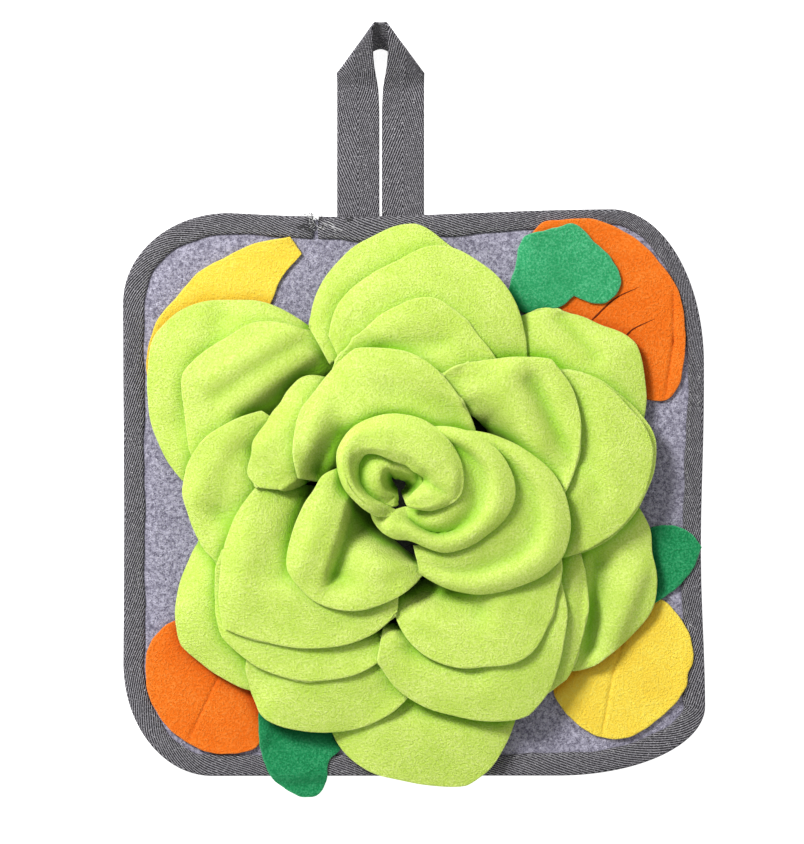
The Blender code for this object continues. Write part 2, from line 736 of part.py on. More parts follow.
def bud_grid(name):
    sections = BUD_PETALS[name]
    rows, columns = SWIRL_GRID if name == "bud_swirl" else MIDDLE_GRID
    bearings = np.array([section.bearing for section in sections], float)
    while np.any(np.diff(bearings) > 0):
        later = int(np.argmax(np.diff(bearings) > 0)) + 1
        bearings[later:] -= 360.0
    turned = -bearings
    wanted = np.linspace(turned[0], turned[-1], rows + 1)

    def along(column):
        return curve_through(turned, [getattr(section, column) for section in sections], wanted)

    x, y, out = fan_points(BUD, -wanted, along("heel"), along("reach"), columns)
    root = BUD_ROOT_HIGH[name]
    crest = along("crest")[:, None]
    rim = along("rim")[:, None]
    if name == "bud_heart":
        high = crest + (rim - crest) * out[None, :]
    else:
        high = arch(out[None, :], root, crest, rim, BUD_CREST_PLACE)
        dip = np.exp(-((out[None, :] - BUD_VALLEY_PLACE) / BUD_VALLEY_WIDTH) ** 2)
        high = high - along("valley")[:, None] * dip
    return np.stack([x, y, high], axis=-1)


def cut_rows(name):
    """The cross sections of an applique; a disc's are worked out from its half widths."""
    if name not in DISCS:
        return APPLIQUES[name]
    disc = DISCS[name]
    turn = math.radians(disc.bearing)
    rows = []
    for step in range(DISC_CUTS):
        place = -math.cos(math.pi * step / (DISC_CUTS - 1))
        half = max(DISC_END, disc.short * math.sqrt(max(0.0, 1.0 - place * place)))
        x = disc.x + disc.long * place * math.cos(turn)
        y = disc.y + disc.long * place * math.sin(turn)
        rows.append(Cut(x, y, half, half))
    return rows


def applique_grid(name):
    cuts = cut_rows(name)
    rows, columns = DISC_GRID if name in DISCS else CUT_GRID
    middle = np.array([(cut.x, cut.y) for cut in cuts])
    run = np.concatenate([[0.0], np.cumsum(np.linalg.norm(np.diff(middle, axis=0), axis=1))])
    if name in DISCS:
        wanted = 0.5 * run[-1] * (1.0 - np.cos(np.linspace(0.0, math.pi, rows + 1)))
    else:
        wanted = np.linspace(0.0, run[-1], rows + 1)
    x = curve_through(run, middle[:, 0], wanted)
    y = curve_through(run, middle[:, 1], wanted)
    left = curve_through(run, [cut.left for cut in cuts], wanted)
    right = curve_through(run, [cut.right for cut in cuts], wanted)
    ahead = np.stack([np.gradient(x), np.gradient(y)], axis=1)
    ahead /= np.linalg.norm(ahead, axis=1)[:, None]
    beside = np.stack([-ahead[:, 1], ahead[:, 0]], axis=1)
    across = np.linspace(-1.0, 1.0, columns + 1)
    offset = np.where(across[None, :] > 0, left[:, None], right[:, None]) * across[None, :]
    grid = np.zeros((rows + 1, columns + 1, 3))
    grid[:, :, 0] = x[:, None] + beside[:, :1] * offset
    grid[:, :, 1] = y[:, None] + beside[:, 1:] * offset
    return grid


def main():
    clear_scene()
    materials = make_materials()
    mat = bpy.data.objects.new("mat", None)
    bpy.context.collection.objects.link(mat)
    outline = panel_outline()
    normals = inward_normals(outline)
    make_felt(outline, normals, materials["felt"], mat)
    _, rings = make_binding(outline, normals, materials["tape"], mat)
    make_loop(materials["tape"], mat)
    make_backing(materials["backing"], mat)

    pile = Pile()
    edge_top = np.stack([rings[1], rings[2], rings[3]], axis=1)
    pile.add(np.concatenate([edge_top, edge_top[:1]]))
    pile.add_fan(rings[1], FELT_THICK)
    for name in APPLIQUE_ORDER:
        top, bottom = pile.lay(applique_grid(name), APPLIQUE_THICK, APPLIQUE_PASSES)
        sheet_piece(name, top, bottom, materials[APPLIQUE_FINISH[name]], mat)
    pile.add_fan(backing_rim(BACKING_HIGH), BACKING_HIGH)
    for number, petal in enumerate(PETALS):
        top, bottom = pile.lay(petal_grid(petal, number), PETAL_THICK, SPREAD_PASSES)
        sheet_piece("petal_" + petal.name, top, bottom, materials["lime"], mat)
    for name in BUD_ORDER:
        top, bottom = pile.lay(bud_grid(name), PETAL_THICK, BUD_PASSES)
        sheet_piece("petal_" + name, top, bottom, materials["lime"], mat)


main()
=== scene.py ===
"""The looks of a square pet training mat: felt, herringbone tape and a fleece rose.

The cloth is laid with the same tables as the solids, then drawn again on finer grids.
Tables are in millimetres, and MM turns them into metres when a mesh is made.
"""
import json
import math
import random
from collections import namedtuple

import bpy
import numpy as np
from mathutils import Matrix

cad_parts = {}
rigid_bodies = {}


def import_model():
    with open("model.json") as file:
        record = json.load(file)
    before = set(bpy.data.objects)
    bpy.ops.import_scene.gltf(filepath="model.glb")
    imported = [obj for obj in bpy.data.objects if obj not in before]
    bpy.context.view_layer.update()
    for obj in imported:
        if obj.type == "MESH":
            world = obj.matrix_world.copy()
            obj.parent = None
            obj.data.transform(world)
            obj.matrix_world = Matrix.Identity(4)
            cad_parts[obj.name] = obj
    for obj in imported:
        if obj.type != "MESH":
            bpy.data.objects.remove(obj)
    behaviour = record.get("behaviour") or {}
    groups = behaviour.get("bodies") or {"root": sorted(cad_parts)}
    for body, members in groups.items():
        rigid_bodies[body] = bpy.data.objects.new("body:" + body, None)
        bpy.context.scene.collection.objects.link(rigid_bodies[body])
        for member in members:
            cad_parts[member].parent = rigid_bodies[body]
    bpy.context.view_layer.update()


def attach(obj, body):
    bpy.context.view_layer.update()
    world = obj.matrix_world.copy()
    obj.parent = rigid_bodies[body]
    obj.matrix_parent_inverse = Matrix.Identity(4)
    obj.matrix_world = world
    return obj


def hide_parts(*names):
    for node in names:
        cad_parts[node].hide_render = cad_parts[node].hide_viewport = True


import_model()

MM = 0.001

# Felt panel and its tape binding
FELT_THICK = 3.2
MARGIN_LOW = 1.3
MARGIN_HIGH = 2.3
TAPE_THICK = 1.0
TAPE_WIDTH = 22.0
PART_GAP = 0.3
WALL_THICK = 1.3
FELT_INSET = 1.8
MARGIN_RAMP = 4.0
TAPE_FOLD_RADIUS = 1.2
TAPE_FOLD_SHOULDER = 0.6
FOLD_SHOULDER_INSET = 0.3
INNER_CHAMFER = 0.3
BINDING_HIGH = MARGIN_HIGH + PART_GAP + TAPE_THICK

# The panel's four corners: where the two edges would meet, and where the round stretch
# starts and ends on them
Corner = namedtuple("Corner", "x y before after")
CORNERS = {
    "top_left": Corner(-150.5, 144.0, 49.0, 48.0),
    "top_right": Corner(149.6, 147.0, 52.0, 62.0),
    "bottom_right": Corner(150.6, -146.2, 48.0, 78.0),
    "bottom_left": Corner(-150.2, -146.5, 46.0, 46.0),
}
CORNER_STEPS = 7
SIDE_STEPS = 10

# How far each side bows in, where along it, and how much tape shows at its start
Side = namedtuple("Side", "bow peak tape_start tape_middle")
SIDES = {
    "top": Side(2.6, 0.34, 10.8, 11.2),
    "right": Side(1.9, 0.55, 8.2, 9.8),
    "bottom": Side(0.0, 0.5, 11.6, 10.4),
    "left": Side(0.4, 0.4, 10.8, 10.4),
}

# How much longer each corner's round stretch was cut than on the solid, before and after the
# corner. Below zero it was cut shorter.
CORNER_TRIMS = {
    "top_left": (-3, 6),
    "top_right": (-4, 18),
    "bottom_right": (-12, -2),
    "bottom_left": (0, 12),
}

# Hanging loop. One row for each cross section of its left leg, from the root to the peak, where
# the tape folds under and meets the right leg. out is the distance to the loop's middle line.
LOOP_MIDDLE = -17.3
LoopCut = namedtuple("LoopCut", "outer_out outer_y outer_z inner_out inner_y inner_z")
LOOP_CUTS = [
    LoopCut(22.5, 134.5, 0.5, 0.6, 134.5, 0.5),
    LoopCut(22.5, 184.0, 0.5, 0.6, 190.0, 0.5),
    LoopCut(22.5, 210.5, 0.5, 1.0, 206.0, 0.9),
    LoopCut(22.5, 215.5, 2.1, 3.6, 223.0, 9.5),
    LoopCut(21.3, 217.7, 2.3, 4.1, 240.0, 17.0),
    LoopCut(19.3, 219.1, 0.5, 2.4, 242.0, 16.2),
    LoopCut(8.0, 225.9, 0.5, 1.4, 241.9, 15.4),
    LoopCut(0.0, 229.5, 0.5, 0.0, 241.8, 15.1),
]
LOOP_LIFT = TAPE_THICK + PART_GAP
LOOP_LIFT_REACH = 20.0
LOOP_LIFT_EASE = 10.0

# The rose
ROSE = (-4.6, -3.9)
BUD = (-8.3, 4.4)
BACKING_RADIUS = 88.0
BACKING_STEPS = 48
BACKING_THICK = 1.5
BACKING_LOW = FELT_THICK + PART_GAP
BACKING_HIGH = BACKING_LOW + BACKING_THICK
PETAL_THICK = 2.0
APPLIQUE_THICK = 1.8
ROOT_HIGH = BACKING_HIGH + PART_GAP
CREST_PLACE = 0.42
CREST_FULLNESS = 0.9
RIM_CURL = 1.7
SIDE_DROP = 0.35
SIDE_POWER = 3
RIPPLE = 0.7
RIPPLE_ROUND = 2.6
RIPPLE_OUT = 2.2
RIPPLE_SHIFT = 0.7

# How pieces are laid over each other
CELL = 0.75
SAMPLE = 0.5
LAY_GAP = 0.5
EDGE_CLEAR = 2.0
SPREAD_PASSES = 6
SETTLE_PASSES = 6
SOFT_PASSES = 12
SOFT_MEET = 0.8
STEEPEST = 1.9
MAP_LOW = (-175.0, -180.0)
MAP_SIZE = (350.0, 440.0)

# How shade is painted into the fleece's nooks: the passes that smooth the pile's surface, how far
# under it the painted shade starts, how much further down it is full, and the most that it grows to past
# that
NOOK_PASSES = 55
NOOK_START = -0.2
NOOK_DEEP = 4.8
NOOK_MOST = 2.2

# One row for each lapped petal, lowest first. Bearings are degrees about the rose's centre,
# anticlockwise from +X, and left is the anticlockwise side. reach is the tip's distance. On each
# side the edge falls to a side distance over a spread of degrees, fuller with a higher round.
# heel is the sewn root's distance, and the side heels are where its two ends lie.
# crest is the petal's highest point and rim its cut edge's height.
Petal = namedtuple(
    "Petal",
    "name bearing reach left left_side left_round right right_side right_round "
    "heel left_heel right_heel crest rim",
)
PETALS = [
    Petal("outer_left_top", 146, 154, 29, 115, 1.5, 27, 102, 1.9, 80, 80, 80, 16, 9),
    Petal("lap_left_top", 150, 131, 32, 92, 1.3, 39, 84, 2.1, 70, 70, 70, 22, 13),
    Petal("outer_left_low", 213, 137, 32, 108, 1.5, 26, 100, 1.4, 78, 78, 78, 16, 9),
    Petal("outer_bottom", 282, 151, 24, 104, 1.35, 34, 112, 2.5, 82, 82, 82, 15, 8),
    Petal("outer_right_low", 337, 139, 32, 98, 1.5, 34, 100, 2.1, 78, 78, 78, 16, 8),
    Petal("outer_right_top", 34, 144, 26, 104, 1.7, 34, 105, 1.3, 80, 80, 80, 15, 8),
    Petal("outer_top", 88, 143, 31, 101, 1.8, 30, 105, 1.3, 80, 80, 80, 15, 8),
    Petal("lap_top", 83, 132, 32, 93, 1.4, 34, 95, 2.0, 68, 68, 68, 22, 14),
    Petal("lap_bottom_left", 238, 134, 34, 100, 1.45, 16, 106, 1.8, 70, 70, 70, 22, 13),
    Petal("lap_right_back", 13, 132, 31, 97, 1.75, 34, 85, 1.65, 72, 72, 72, 22, 14),
    Petal("lap_low_right", 312, 125, 33, 91, 1.2, 24, 100, 1.8, 68, 68, 68, 22, 14),
    Petal("lap_left", 178, 115, 30, 92, 1.5, 30, 87, 1.8, 62, 62, 62, 23, 15),
    Petal("mid_low_left_under", 217, 117, 48, 78, 1.7, 22, 97, 1.4, 62, 68, 62, 26, 19),
    Petal("mid_low_right_under", 300, 127, 34, 88, 1.3, 40, 83, 1.5, 64, 64, 64, 26, 19),
    Petal("mid_right_under", 13, 130, 31, 96, 1.75, 34, 84, 1.65, 60, 60, 60, 26, 19),
    Petal("mid_top", 82, 105, 37, 77, 1.7, 30, 80, 1.5, 52, 52, 52, 28, 21),
    Petal("mid_low_right", 309, 101, 35, 80, 1.6, 46, 54, 2.0, 42, 42, 42, 31, 25),
    Petal("mid_low_left", 215, 114, 51, 58, 1.05, 44, 73, 1.0, 44, 44, 44, 31, 25),
    Petal("mid_left", 152, 84, 23, 76, 2.2, 30, 74, 1.6, 44, 44, 44, 33, 27),
    Petal("mid_right", 44, 104, 32, 64, 1.0, 41, 82, 2.3, 56, 48, 78, 31, 25),
    Petal("inner_top", 108, 82, 60, 56, 1.15, 68, 49, 1.15, 26, 26, 26, 38, 31),
    Petal("inner_low_left", 211, 70, 72, 39, 1.5, 60, 36, 1.7, 19, 37, 19, 37, 31),
]

# What each rim was cut longer by than its smooth curve, at these turns from its right to its left
RIM_TURNS = (-1.0, -0.8, -0.55, -0.3, 0.0, 0.3, 0.55, 0.8, 1.0)
RIM_CUTS = {
    "outer_left_top": (0, 1.5, 0, 1, 0.5, -1, 0, 1, 0),
    "lap_left_top": (0, -3, 0.5, -2.5, 0, -2, 0, 0, 0),
    "outer_left_low": (0, 0.5, -0.5, 0.5, 0.5, 0, 1, 0, 0),
    "outer_bottom": (0, 1.5, -1, -3, -0.5, 0, 0, 0, 0),
    "outer_right_low": (0, 0, 1.5, -2, 0, -0.5, 3.5, 3, 0),
    "outer_right_top": (0, 0, -1, -0.5, 0, -3, -1, 4, 0),
    "outer_top": (0, 0, 0, -2.5, -0.5, -1.5, 0, 2, 0),
    "lap_top": (0, 0, 0.5, 0, 0, -2, 1, 3, 0),
    "lap_bottom_left": (0, 1, -1.5, -2, 0, 0, 1.5, 1.5, 0),
    "lap_right_back": (0, 0, 0.5, -0.5, 0.5, -1, 0, 1.5, 0),
    "lap_low_right": (0, 0, 0, 0, -1.5, -1, 0.5, 0.5, 0),
    "lap_left": (0, 0, 0.5, 0.5, -0.5, -1, -0.5, 0, 0),
    "mid_low_left_under": (0, 0.5, -1, 0, 0, 0, 1, 1, 0),
    "mid_low_right_under": (0, 2, 0, -1.5, 0, 0.5, 0, 0.5, 0),
    "mid_right_under": (0, 0, 0.5, -0.5, 0.5, -1, 0, 1.5, 0),
    "mid_top": (0, -0.5, -2.5, -1.5, 0, -2, -3.5, -1.5, 0),
    "mid_low_right": (0, 2.5, 0, -2.5, 0, -0.5, -1, 1, 0),
    "mid_low_left": (0, 1, 0.5, 0.5, 0, -1.5, 0, 1, 0),
    "mid_left": (0, 4, 2.5, -1, -2, -0.5, 0.5, 3, 0),
    "mid_right": (0, -1.5, -1, -0.5, 0, -0.5, -0.5, 1.5, 0),
    "inner_top": (0, -1, -0.5, 1.5, 0, -1.5, 0.5, 1, 0),
    "inner_low_left": (0, -3, -8.5, -7, -0.5, 2.5, 1.5, 0, 0),
}

# How much further out than on its solid a petal's heel is: in its middle, at its left, at its right
HEEL_CUTS = {
    "inner_low_left": (0, -5, 0),
    "mid_right": (0, 3, 0),
    "mid_left": (0, 17, 0),
    "inner_top": (0, 15, 0),
}

# The bud's wrapped petals, one row for each section round the bud's own centre. heel is the inner
# edge's distance and reach the rim's. trough is where the valley lies between them. The heights
# run from the inner edge over a swell, down the valley and over the lip to the rim.
Wrap = namedtuple("Wrap", "bearing heel reach trough low swell valley lip rim")
WRAPS = {
    "bud_outer": [
        Wrap(40, 30, 42, 0.60, 33, 34, 34, 34, 32),
        Wrap(20, 32, 62, 0.62, 34, 37, 35, 36, 32),
        Wrap(0, 34, 83, 0.66, 34, 38, 34, 38, 33),
        Wrap(338, 36, 92, 0.66, 34, 38, 33, 38, 33),
        Wrap(318, 36, 79, 0.62, 34, 38, 34, 38, 33),
        Wrap(300, 34, 63, 0.60, 34, 37, 35, 37, 33),
        Wrap(284, 32, 46, 0.55, 34, 35, 35, 35, 33),
    ],
    "bud_middle": [
        Wrap(72, 16, 28, 0.60, 38, 41, 41, 41, 39),
        Wrap(45, 17, 41, 0.60, 38, 43, 41, 44, 40),
        Wrap(18, 18, 54, 0.62, 38, 44, 39, 45, 40),
        Wrap(354, 18, 60, 0.57, 38, 44, 38, 45, 40),
        Wrap(330, 17, 52, 0.65, 38, 44, 38, 45, 40),
        Wrap(306, 14, 42, 0.58, 36, 41, 37, 45, 41),
        Wrap(286, 12, 30, 0.36, 34, 37, 38, 45, 41),
        Wrap(262, 13.5, 27, 0.25, 34, 39, 41, 45, 41),
        Wrap(246, 15.5, 24, 0.25, 31, 35, 37, 39, 36),
        Wrap(228, 17, 20, 0.25, 26, 28, 29, 30, 28),
    ],
    "bud_heart": [
        Wrap(268, 3, 10.5, 0.75, 16, 30, 32, 33, 33),
        Wrap(250, 2.5, 12.5, 0.78, 15, 35, 37, 37, 37),
        Wrap(215, 2, 17, 0.80, 14, 41, 38, 37, 37),
        Wrap(180, 2, 23, 0.80, 15, 45, 39, 37, 37),
        Wrap(150, 3.5, 27, 0.74, 20, 46, 41, 39, 38),
        Wrap(125, 5.5, 24, 0.80, 26, 46, 43, 42, 41),
        Wrap(105, 3.5, 19, 0.80, 24, 44, 44, 43, 42),
        Wrap(60, 3.5, 15, 0.80, 24, 41, 43, 42, 42),
        Wrap(20, 4.5, 14, 0.80, 18, 34, 38, 40, 41),
        Wrap(350, 4.5, 12.5, 0.80, 12, 26, 36, 39, 40),
        Wrap(320, 4.5, 11, 0.80, 12, 26, 34, 37, 38),
        Wrap(292, 4, 10.5, 0.80, 12, 26, 33, 35, 36),
    ],
    "bud_swirl": [
        Wrap(270, 13.5, 16, 0.30, 32, 33, 34, 35, 34),
        Wrap(248, 12.0, 17.5, 0.30, 37, 39, 40, 41, 39),
        Wrap(230, 12.4, 19.2, 0.30, 40, 43, 45, 47, 44),
        Wrap(210, 14.5, 21.5, 0.30, 41, 44, 48, 51, 47),
        Wrap(193, 17, 24.5, 0.30, 41, 44, 48, 52, 47),
        Wrap(177, 19.5, 28.5, 0.30, 41, 44, 48, 53, 47),
        Wrap(165, 21, 31.5, 0.30, 42, 45, 48, 53, 47),
        Wrap(150, 23, 35, 0.30, 44, 47, 49, 53, 47),
        Wrap(139, 23, 36, 0.30, 47, 49, 51, 53, 47),
        Wrap(125, 19.5, 36.6, 0.30, 49, 51, 53, 53, 46),
        Wrap(110, 14.5, 36.5, 0.30, 49, 52, 54, 53, 45),
        Wrap(90, 11.5, 36, 0.30, 48, 51, 53, 52, 45),
        Wrap(70, 11, 35.6, 0.30, 47, 50, 53, 52, 44),
        Wrap(45, 10.5, 34.6, 0.30, 46, 49, 53, 52, 44),
        Wrap(12, 13.5, 33.8, 0.30, 44, 47, 51, 51, 44),
        Wrap(352, 10.5, 32.6, 0.30, 45, 47, 50, 51, 44),
        Wrap(335, 8.8, 26.5, 0.30, 46, 48, 50, 50, 44),
        Wrap(313, 8.5, 17, 0.30, 46, 47, 48, 48, 45),
        Wrap(295, 8.5, 11, 0.30, 46, 46, 46, 46, 45),
    ],
}
WRAPS_ORDER = ("bud_outer", "bud_middle", "bud_heart", "bud_swirl")
# How much of a wrap's length, at its start, is tucked in under its neighbours, and how deep
TUCKED = {"bud_swirl": 0.11}
TUCK_DEEP = 12.0

# Soft troughs, and ridges where the depth is negative: the line that one runs along, its depth,
# how wide it is on the left and right of that line, and how far it fades past its ends
Fold = namedtuple("Fold", "from_x from_y to_x to_y depth left right fade")
FOLDS = {
    "inner_low_left": [
        Fold(-29, -4, -41, -40, 11.5, 13, 3.4, 9),
        Fold(-42, 2, -58, -38, -2.5, 6, 6, 8),
    ],
    "lap_left": [
        Fold(-84, 15, -99, -11, 6, 9, 9, 8),
        Fold(-96, 26, -110, 0, -1.5, 7, 7, 8),
    ],
    "inner_top": [
        Fold(-37, 30, -50, 12, 7, 9, 7, 6),
        Fold(-49, 40, -58, 14, -2, 5, 5, 8),
        Fold(-10, 52, 22, 42, 2.5, 7, 7, 10),
    ],
    "mid_low_left": [
        Fold(-56, 10, -68, -38, 6, 7, 10, 9),
        Fold(-36, -28, -43, -47, 7, 13, 4, 7),
        Fold(-84, -8, -90, -50, -2, 8, 8, 12),
    ],
    "outer_right_low": [
        Fold(94, -38, 90, -77, 8, 9, 5, 9),
        Fold(115, -43, 98, -87, -4, 4, 7, 8),
    ],
    "outer_right_top": [
        Fold(76, 90, 93, 71, 3, 4, 6, 6),
    ],
    "mid_right": [
        Fold(62, 56, 82, 16, 8, 6, 9, 8),
        Fold(50, 60, 66, 30, -2, 7, 7, 9),
    ],
    "lap_left_top": [
        Fold(-100, 51, -58, 77, 2.5, 6, 7, 9),
        Fold(-80, 32, -35, 66, 22, 11, 9, 8),
        Fold(-98, 60, -62, 84, -2, 7, 7, 10),
    ],
    "outer_left_top": [
        Fold(-118, 40, -100, 88, 2.5, 8, 8, 12),
        Fold(-80, 32, -35, 66, 20, 12, 11, 10),
    ],
    "outer_left_low": [
        Fold(-84, 15, -99, -11, 9, 10, 9, 11),
        Fold(-110, -30, -128, -52, 2, 8, 8, 10),
    ],
    "mid_left": [
        Fold(-42, 30, -52, 12, 6, 9, 7, 6),
        Fold(-62, 40, -76, 26, -1.5, 6, 6, 8),
    ],
    "lap_right_back": [
        Fold(62, 56, 82, 16, 8, 8, 10, 10),
        Fold(94, 40, 100, 8, 3, 7, 8, 9),
    ],
    "mid_top": [
        Fold(-34, 72, 10, 76, 3.5, 7, 6, 10),
    ],
    "mid_low_right": [
        Fold(-4, -49, 32, -60, 6, 8, 9, 8),
    ],
    "mid_low_right_under": [
        Fold(-14, -75, 30, -90, 3, 6, 6, 8),
    ],
    "outer_bottom": [
        Fold(-4, -110, 40, -114, 3, 6, 7, 9),
    ],
    "mid_right_under": [
        Fold(86, 42, 92, 6, 4, 6, 8, 9),
        Fold(62, 56, 82, 16, 8, 7, 10, 10),
    ],
    "lap_low_right": [
        Fold(87, -48, 84, -84, 2.5, 3, 4, 8),
    ],
    "bud_swirl": [
        Fold(5, 7, 16, 0, 3, 3, 3, 3),
    ],
    "carrot_applique": [
        Fold(134, 102, 134, 78, 0.9, 0.9, 0.9, 2),
        Fold(134, 78, 130, 51, 0.9, 0.9, 0.9, 2),
    ],
    "orange_disc_applique": [
        Fold(-102, -97, -117, -129, 0.7, 0.9, 0.9, 3),
    ],
    "yellow_disc_applique": [
        Fold(108, -77, 103, -92, 0.8, 0.9, 0.9, 2),
        Fold(103, -92, 97, -125, 0.8, 0.9, 0.9, 2),
    ],
}

# The flat shapes' cut outlines, in order round each shape. A corner is a point with True.
OUTLINES = {
    "banana_applique": [
        (-64.1, 132.1, True), (-57.9, 123.3, True), (-68.8, 109.9), (-73.9, 97.5), (-78.6, 84.0),
        (-90.0, 72.6), (-104.4, 62.3), (-116.8, 49.4), (-128.7, 42.7), (-135.5, 48.9), (-138.0, 62.3),
        (-137.0, 76.3), (-132.4, 89.2), (-125.6, 97.5), (-110.6, 114.0), (-97.2, 121.8), (-80.7, 129.0),
    ],
    "carrot_applique": [
        (60.0, 132.6, True), (66.2, 139.3), (78.1, 141.1), (93.1, 140.9), (102.9, 137.8), (116.3, 129.5),
        (127.7, 118.1), (134.9, 107.3), (139.1, 94.4), (140.1, 81.4), (139.1, 66.4), (137.0, 55.6),
        (130.8, 48.3), (120.5, 48.1), (111.7, 55.6), (98.7, 73.7), (85.8, 86.6), (67.7, 96.9),
        (58.9, 115.0),
    ],
    "orange_disc_applique": [
        (-124.1, -66.4), (-134.4, -74.7), (-138.3, -85.0), (-138.6, -93.8), (-136.5, -105.7),
        (-131.3, -116.1), (-123.6, -124.3), (-113.7, -131.1), (-101.8, -134.7), (-91.0, -134.7),
        (-81.2, -131.1), (-75.5, -120.2), (-77.0, -104.7), (-87.4, -89.2), (-102.9, -73.7),
        (-115.8, -65.9),
    ],
    "yellow_disc_applique": [
        (128.7, -55.6), (139.1, -67.5), (143.7, -78.8), (144.0, -87.6), (141.4, -92.8), (140.9, -99.0),
        (137.5, -105.7), (128.7, -114.5), (118.4, -122.8), (107.5, -126.9), (96.2, -126.4),
        (84.8, -119.7), (77.0, -112.4), (72.4, -103.7), (75.5, -86.6), (85.8, -71.1), (101.3, -58.2),
        (116.8, -53.0),
    ],
    "heart_leaf_applique": [
        (56.9, 132.1), (67.7, 135.2), (77.0, 138.0), (80.7, 139.1), (85.8, 136.7), (93.1, 129.5),
        (102.4, 119.9), (106.0, 113.5), (106.5, 107.3), (103.9, 101.8), (99.3, 98.0), (93.1, 97.7),
        (86.9, 99.5), (82.7, 101.3, True), (74.4, 95.4), (66.7, 93.3), (55.8, 93.3), (48.6, 102.1),
        (49.6, 107.3), (52.7, 119.2), (54.3, 126.9),
    ],
    "leaf_right_applique": [
        (116.8, -24.6), (123.0, -17.8), (133.4, -17.1), (141.7, -19.9), (148.4, -28.2, True),
        (145.8, -35.4), (141.7, -42.7), (133.4, -50.9), (124.6, -56.6), (114.3, -58.2), (105.5, -50.4),
        (106.5, -34.9),
    ],
    "leaf_bottom_applique": [
        (-78.6, -107.3), (-80.4, -118.7), (-79.5, -130.0), (-77.0, -140.5), (-72.3, -148.3),
        (-64.7, -154.4), (-55.6, -157.4), (-49.5, -156.4), (-45.7, -149.9), (-43.4, -138.0),
        (-38.1, -131.6), (-41.0, -127.4), (-41.4, -120.2), (-48.6, -102.1),
        (-64.1, -96.9),
    ],
}

# The tape's frayed end, and the wider flap of tape over the loop's root
TAPE_END = (-50.5, 144.0)
ROOT_FLAP_X = -24.5
ROOT_FLAP_LONG = 12.0
ROOT_FLAP_WIDER = 1.5

# The stitches beside the tape's inner edge. A stitch dips into the cloth at its two ends.
STITCH_INSET = 1.7
STITCH_START = 2.0
STITCH_PITCH = 3.1
STITCH_LONG = 2.1
STITCH_DIPS = (-0.25, 0.0, 0.08, 0.0, -0.25)
STITCH_ASTRAY = 0.12
STITCH_RADIUS = 0.2

# Loose threads: where they start, how widely, which way they run and fan out, and their size
Fray = namedtuple("Fray", "x y wide deep heading fan length rise radius count shade")
FRAYS = [
    Fray(-52.5, 138.5, 4.5, 5.0, 90, 80, 4.0, 0.9, 0.14, 46, "dark"),
    Fray(-51.0, 139.0, 3.5, 4.5, 70, 90, 3.4, 0.7, 0.13, 26, "pale"),
    Fray(-46.5, 139.6, 1.0, 1.0, -20, 25, 9.0, 0.6, 0.16, 3, "pale"),
    Fray(-44.0, 136.4, 1.5, 1.0, 160, 30, 7.5, 0.6, 0.15, 2, "pale"),
    Fray(-17.5, 143.0, 1.0, 0.8, 80, 40, 4.5, 1.0, 0.15, 3, "pale"),
    Fray(-35.5, 140.2, 1.2, 1.0, 10, 40, 4.0, 0.5, 0.13, 5, "dark"),
    Fray(141.0, -66.5, 1.0, 1.0, -60, 50, 3.4, 0.5, 0.14, 2, "pale"),
    Fray(-121.0, -131.0, 1.0, 1.0, 60, 50, 3.6, 0.5, 0.14, 2, "pale"),
    Fray(-150.0, -90.0, 0.5, 3.0, 170, 40, 2.5, 0.2, 0.12, 3, "dark"),
    Fray(146.0, 40.0, 0.5, 30.0, 10, 60, 2.2, 0.2, 0.12, 5, "pale"),
]
FRAY_POINTS = 7
FRAY_CLEAR = 0.3
FRAY_DROOP = 0.4

# Two narrow slits cut in the carrot, each through three points, and the place of the second
# point along them. Then the dark sliver of painted shadow in a slit: half its width, its
# thickness, how much its middle is raised and half the width of its pointed end.
SLITS = [
    [(91.5, 88.7), (103.0, 99.5), (116.5, 106.2)],
    [(109.5, 80.9), (113.3, 84.5), (124.2, 89.7)],
]
SLIT_MIDDLE = 0.45
SLIT_HALF_WIDE = 0.55
SLIT_THICK = 0.25
SLIT_CROWN = 0.02
SLIT_LEAST = 0.03

# Cells along and across each kind of piece
PETAL_GRID = (12, 5)
FINE_PETAL = (70, 28)
FINE_BUD = (110, 26)
FINE_LOOP = (260, 18)
FINE_SLIT = (29, 2)

# About how long and wide petals are, to place the cells at their edges
PETAL_SPAN = (110.0, 55.0)
BUD_SPAN = (150.0, 35.0)

# The cloth's cut edge and the small unevenness of work done by hand, which is a sum of waves
CUT_STEP = 1.1
FINE_GAP = 0.3
FINE_PASSES = 14
CUT_ROUND = 1.0
CUT_FLAT = 0.3
RIM_BAND = 0.9
WOBBLE = 0.7
BUD_WOBBLE = 0.35
BUD_WOBBLE_TURNS = 3.0
CURL = 0.9
CURL_ROUND = 7.0
CURL_SHIFT = 1.7
Wave = namedtuple("Wave", "size rate shift")
RIM_WAVES = (Wave(0.5, 6.1, 2.1), Wave(0.3, 13.7, 1.3), Wave(0.2, 24.0, 0.7))
SHAPE_WAVES = (Wave(0.2, 9, 1), Wave(0.1, 23, 2))
TAPE_WIDTH_WAVES = (Wave(0.35, 1 / 9.0, 0.0), Wave(0.25, 1 / 3.7, 1.0))
TAPE_PUFF_WAVES = (Wave(0.4, 1 / 6.3, 0.0),)
TAPE_FOLD_WAVES = (Wave(0.25, 1 / 7.1, 0.0), Wave(0.15, 1 / 2.9, 0.0))

# The finer panel: the steps round it, and the tape's puffed face and rounded edge
FINE_CORNER_STEPS = 30
FINE_SIDE_STEPS = 80
TAPE_PUFF = 0.5
TAPE_EDGE_ROUND = 0.15

